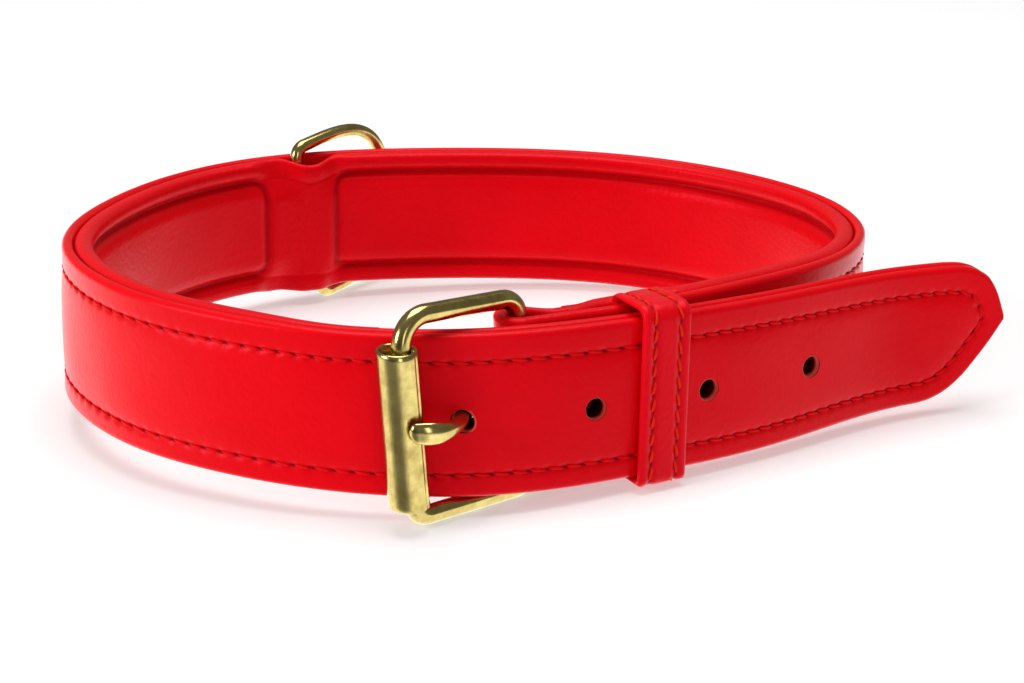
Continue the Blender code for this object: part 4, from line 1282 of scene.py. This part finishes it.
def make_keeper_stitches():
    """The keeper's two seams, each stitch slanted across its line."""
    half = KEEPER_THICKNESS / 2.0
    runs = []
    for seam, tilt in zip(KEEPER_SEAMS, (KEEPER_SLANT, -KEEPER_SLANT)):
        points, even, around = keeper_surface(seam / KEEPER_WIDTH, half - 0.00035)
        above, _, _ = keeper_surface(seam / KEEPER_WIDTH, half + 0.0005)
        middles = np.arange(0.5, math.floor(around / KEEPER_PITCH)) * KEEPER_PITCH
        centre = interp_rows(middles, even, points)
        out = unit(interp_rows(middles, even, above - points))
        ahead = unit(interp_rows(middles, even, ring_directions(points)))
        runs.append(stitch_shells(centre, ahead, out, *KEEPER_STITCH, tilt))
    return thread_piece("keeper_stitches", runs, KEEPER_THREAD)


# Brass

def sweep(path, radius, up, sides=28):
    """Rings of a circle of the given radius carried along a closed 3-D path."""
    up = unit(up)
    side = unit(np.cross(ring_directions(path), up))
    angles = turns(sides)[:, None]
    return path[:, None, :] + radius * (np.cos(angles) * side[:, None, :] + np.sin(angles) * up)


def fill_path(points, step=0.0008):
    """A closed path with points added so that none is further than a step apart."""
    points = np.vstack([points, points[:1]])
    length = length_along(points)
    even = np.linspace(0.0, length[-1], int(length[-1] / step) + 1)[:-1]
    return interp_rows(even, length, points)


def upright_rings(axis, radius, height, angles):
    """Rings round an upright axis through a plan point, leaned with the buckle."""
    x = axis[0] + radius * np.cos(angles)
    y = axis[1] + radius * np.sin(angles)
    return leaned(np.stack([x, y, np.broadcast_to(height, x.shape)], axis=-1))


def make_buckle_frame():
    """Bent wire frame: heel bar, two rails and the roller's bar."""
    along = unit(ROLLER_AXIS - HEEL_AXIS)
    half = (BUCKLE_OPENING + BUCKLE_WIRE) / 2.0
    outline = []
    corners = (
        (BUCKLE_REACH, half, 0.0, BUCKLE_TOP_CORNER),
        (0.0, half - BUCKLE_DROP, 90.0, BUCKLE_CORNER),
        (0.0, -half, 180.0, BUCKLE_CORNER),
        (BUCKLE_REACH, -half, 270.0, BUCKLE_FOOT_CORNER),
    )
    for reach_at, height, start, corner in corners:
        centre_along = reach_at - math.copysign(corner, reach_at - BUCKLE_REACH / 2.0)
        centre_up = height - math.copysign(corner, height)
        for angle in np.radians(start + np.linspace(0.0, 90.0, 19)):
            outline.append((centre_along + corner * math.cos(angle), centre_up + corner * math.sin(angle)))
    outline = fill_path(np.array(outline))
    plan = HEEL_AXIS + along * outline[:, :1]
    path = leaned(np.column_stack([plan, BUCKLE_MIDDLE + outline[:, 1]]))
    rings = sweep(path, BUCKLE_WIRE / 2.0, (-along[1], along[0], 0.0))
    return loft("frame_wire", rings, WIRE_BRASS, closed=True)


def make_roller():
    """Rolled tube with rounded rims and the groove of its joint down one side."""
    low = BUCKLE_MIDDLE - BUCKLE_OPENING / 2.0 + ROLLER_SEAT
    high = low + ROLLER_LENGTH
    inner = ROLLER_RADIUS - ROLLER_WALL
    foot = [(inner, low + BRASS_BEVEL), (inner + BRASS_BEVEL, low), (ROLLER_RADIUS - BRASS_BEVEL, low),
            (ROLLER_RADIUS, low + BRASS_BEVEL)]
    tube = [(ROLLER_RADIUS, low + (high - low) * share) for share in np.linspace(0.04, 0.96, 24)]
    head = [(radius, low + high - height) for radius, height in foot[::-1]]
    profile = np.array(foot + tube + head)
    angles = turns(96)
    toward = np.arctan2(*(HEEL_AXIS - ROLLER_AXIS)[::-1])
    turn = (angles - toward - ROLLER_JOINT + math.pi) % math.tau - math.pi
    joint = JOINT_DEPTH * np.exp(-(turn / 0.07) ** 2)
    outer = (profile[:, 0] > inner + BRASS_BEVEL * 0.5)[:, None]
    radius = profile[:, :1] - np.where(outer, joint, 0.0)
    rings = upright_rings(ROLLER_AXIS, radius, profile[:, 1:], angles)
    return loft("roller_tube", rings, ROLLER_BRASS, closed=True)


def make_tongue():
    """Round shank through the hole, flattened to a leaf over the roller, with its eye."""
    points, _, _ = tongue_route()
    curve = natural_spline(points)
    curve = curve[np.linspace(0, len(curve) - 1, 60).astype(int)]
    ahead = unit(np.gradient(curve, axis=0))
    side = np.column_stack([-ahead[:, 1], ahead[:, 0]])
    share = np.linspace(0.0, 1.0, len(curve))
    tall = smooth_rows(TONGUE_FORM, 1, share) * TONGUE_TIP_WIDTH / 2.0
    thick = smooth_rows(TONGUE_FORM, 2, share) * TONGUE_DIAMETER / 2.0
    middle = hole_rows()[0][2]
    angles = turns(24)
    across = thick[:, None] * np.cos(angles)
    rings = np.stack([
        curve[:, :1] + side[:, :1] * across,
        curve[:, 1:] + side[:, 1:] * across,
        (middle + TONGUE_RISE * share)[:, None] + tall[:, None] * np.sin(angles),
    ], axis=-1)
    low = middle - TONGUE_EYE_HEIGHT / 2.0
    high = middle + TONGUE_EYE_HEIGHT / 2.0
    outer = HEEL_RADIUS + TONGUE_EYE_WALL
    bevel = BRASS_BEVEL
    profile = np.array([(HEEL_RADIUS, low), (outer - bevel, low), (outer, low + bevel),
                        (outer, high - bevel), (outer - bevel, high), (HEEL_RADIUS, high)])
    eye = upright_rings(HEEL_AXIS, profile[:, :1], profile[:, 1:], turns(48))
    return joined("tongue_forging", [(leaned(rings), False), (eye, True)], WIRE_BRASS)


def make_d_ring():
    """Wire D: a straight bar, tight corners and a full curve."""
    depth = STRAP_THICKNESS + LAYER_GAP + RING_WIRE / 2.0
    plan = ROUTE.offset(RING_AT, depth)
    along = np.array([*-ROUTE.tangent(RING_AT), 0.0])
    outward_way = np.array([*-ROUTE.inward(RING_AT), 0.0])
    up = np.array([0.0, 0.0, 1.0])
    pitch = math.radians(RING_PITCH)
    swing = math.radians(RING_SWING)
    bar = up * math.cos(pitch) - along * math.sin(pitch)
    level = along * math.cos(pitch) + up * math.sin(pitch)
    reach = outward_way * math.cos(swing) + level * math.sin(swing)
    top = STRAP_WIDTH + LAYER_GAP + RING_WIRE / 2.0
    middle = np.array([*plan, top - RING_HEIGHT / 2.0 * math.cos(pitch)]) + STAND
    half = RING_HEIGHT / 2.0
    corner = RING_CORNER
    fullness = 2.0 / RING_SQUARENESS
    quarter = np.radians(np.linspace(10.0, 80.0, 8))
    bend = [(corner * (1.0 - math.cos(angle)), half - corner * (1.0 - math.sin(angle))) for angle in quarter]
    angles = np.radians(np.linspace(0.0, 180.0, 121))
    run = np.abs(np.sin(angles)) ** fullness
    rise = np.copysign(np.abs(np.cos(angles)) ** fullness, np.cos(angles))
    curve = np.column_stack([corner + (RING_REACH - corner) * run, half * rise])
    straight = np.column_stack([np.zeros(12), np.linspace(-half + corner, half - corner, 12)])
    outline = fill_path(np.vstack([straight, bend, curve, [(out, -high) for out, high in bend[::-1]]]))
    path = middle + reach * outline[:, :1] + bar * outline[:, 1:]
    return loft("ring_wire", sweep(path, RING_WIRE / 2.0, np.cross(bar, reach)), WIRE_BRASS, closed=True)


# Stage

def make_floor():
    """Pale floor through the three places that the collar rests on."""
    ring_low, ring_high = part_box("d_ring")
    frame_low, frame_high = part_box("buckle_frame")
    strap_low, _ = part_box("outer_strap")
    rests = np.array([
        ((ring_low[0] + ring_high[0]) / 2.0, ring_low[1] + 0.006, ring_low[2]),
        ((frame_low[0] + frame_high[0]) / 2.0, frame_low[1] + 0.006, frame_low[2]),
        (LOOP_WIDTH / 2.0 + STAND[0] - 0.006, 0.0, strap_low[2] - PAD_DROP),
    ])
    plane = np.linalg.solve(np.column_stack([rests[:, :2], np.ones(3)]), rests[:, 2])
    reach = FLOOR_REACH
    corners = np.array([(-reach, -reach), (reach, -reach), (reach, reach), (-reach, reach)])
    heights = corners @ plane[:2] + plane[2] - 0.0002
    finish, tree, shader = new_material("floor white")
    place = add_node(tree, "TexCoord").outputs["Object"]
    speck = add_node(tree, "TexNoise", (("Scale", 3.0), ("Vector", place)))
    ground = mix_colour(tree, speck.outputs["Fac"], (0.62, 0.62, 0.62, 1.0), (0.65, 0.65, 0.65, 1.0))
    feed(tree, shader, (("Base Color", ground), ("Emission Color", WHITE), ("Emission Strength", 0.42),
                        ("Roughness", 0.9), ("Specular IOR Level", 0.1)))
    floor = shell("floor", np.column_stack([corners, heights]), np.array([[0, 1, 2, 3]]), [], finish)
    floor.visible_glossy = False


def facing(place, away, right, up):
    """World matrix of a lamp or camera at a place, from its own axes."""
    matrix = np.eye(4)
    matrix[:3, 0] = right
    matrix[:3, 1] = up
    matrix[:3, 2] = away
    matrix[:3, 3] = place
    return Matrix(matrix.tolist())


def add_light(name, place, aim, size, power):
    """Soft white rectangular lamp at a place, turned to a point."""
    lamp = bpy.data.lights.new(name, "AREA")
    lamp.shape = "RECTANGLE"
    lamp.size, lamp.size_y = size
    lamp.energy = power
    made = bpy.data.objects.new(name, lamp)
    away = unit(np.array(place) - np.array(aim))
    right = unit(np.cross((0.0, 0.0, 1.0), away))
    made.matrix_world = facing(place, away, right, np.cross(away, right))
    bpy.context.collection.objects.link(made)


def add_camera():
    """Camera of the photograph, looking down 20 degrees and rolled slightly."""
    away = np.array([0.0, -math.cos(CAMERA_DROP), math.sin(CAMERA_DROP)])
    level = np.array([1.0, 0.0, 0.0])
    upright = np.array([0.0, math.sin(CAMERA_DROP), math.cos(CAMERA_DROP)])
    right = level * math.cos(CAMERA_ROLL) + upright * math.sin(CAMERA_ROLL)
    up = upright * math.cos(CAMERA_ROLL) - level * math.sin(CAMERA_ROLL)
    data = bpy.data.cameras.new("camera")
    data.sensor_width = 36.0
    data.lens = CAMERA_LENS
    camera = bpy.data.objects.new("camera", data)
    camera.matrix_world = facing(STAND + CAMERA_PLACE, away, right, up)
    bpy.context.collection.objects.link(camera)
    bpy.context.scene.camera = camera


def add_studio():
    """Room light: grey overhead; below the horizon, where only gloss sees it, it is
    bright all round and dark toward the side that the buckle faces."""
    world = bpy.data.worlds.new("studio")
    world.use_nodes = True
    tree = world.node_tree
    way = add_node(tree, "TexCoord").outputs["Generated"]
    height = add_node(tree, "SeparateXYZ", (("Vector", way),))
    toward = add_node(tree, "VectorMath", ((0, way), (1, DARK_SIDE)), operation="DOT_PRODUCT")
    shades = []
    for dark, light in (ROOM_ABOVE, ROOM_BELOW):
        fade = (("From Min", DARK_EDGE[0]), ("From Max", DARK_EDGE[1]), ("To Min", light),
                ("To Max", dark), ("Value", toward.outputs["Value"]))
        shades.append(add_node(tree, "MapRange", fade, interpolation_type="SMOOTHSTEP").outputs["Result"])
    fade = (("From Min", HORIZON[0]), ("From Max", HORIZON[1]), ("Value", height.outputs["Z"]))
    under = add_node(tree, "MapRange", fade)
    gap = link_maths(tree, "SUBTRACT", shades[1], shades[0])
    strength = link_maths(tree, "MULTIPLY_ADD", under.outputs["Result"], gap, shades[0])
    feed(tree, tree.nodes["Background"], (("Strength", strength), ("Color", WHITE)))
    bpy.context.scene.world = world


add_camera()
PIECES = (
    (make_outer_strap(), "collar", "red_leather", ("outer_strap",)),
    (make_lining(), "collar", "red_leather", ("padded_lining",)),
    (make_backing(), "collar", "red_leather", ("strap_end_backing",)),
    (make_keeper(), "collar", "red_leather", ("keeper_loop",)),
    (make_hole_edges(), "collar", "red_leather", ()),
    (make_strap_stitches(), "collar", "red_leather", ()),
    (make_painted_hole_shade(), "collar", "red_leather", ()),
    (make_keeper_stitches(), "collar", "red_leather", ()),
    (make_buckle_frame(), "collar", "brass", ("buckle_frame",)),
    (make_roller(), "collar", "brass", ("buckle_roller",)),
    (make_tongue(), "collar", "brass", ("buckle_tongue",)),
    (make_d_ring(), "ring", "brass", ("d_ring",)),
)
for piece, body, slot, nodes in PIECES:
    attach(piece, body)
    if nodes:
        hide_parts(*nodes)

make_floor()
for lamp in LAMPS:
    add_light(*lamp)
add_studio()
bpy.context.scene.view_settings.view_transform = "Standard"
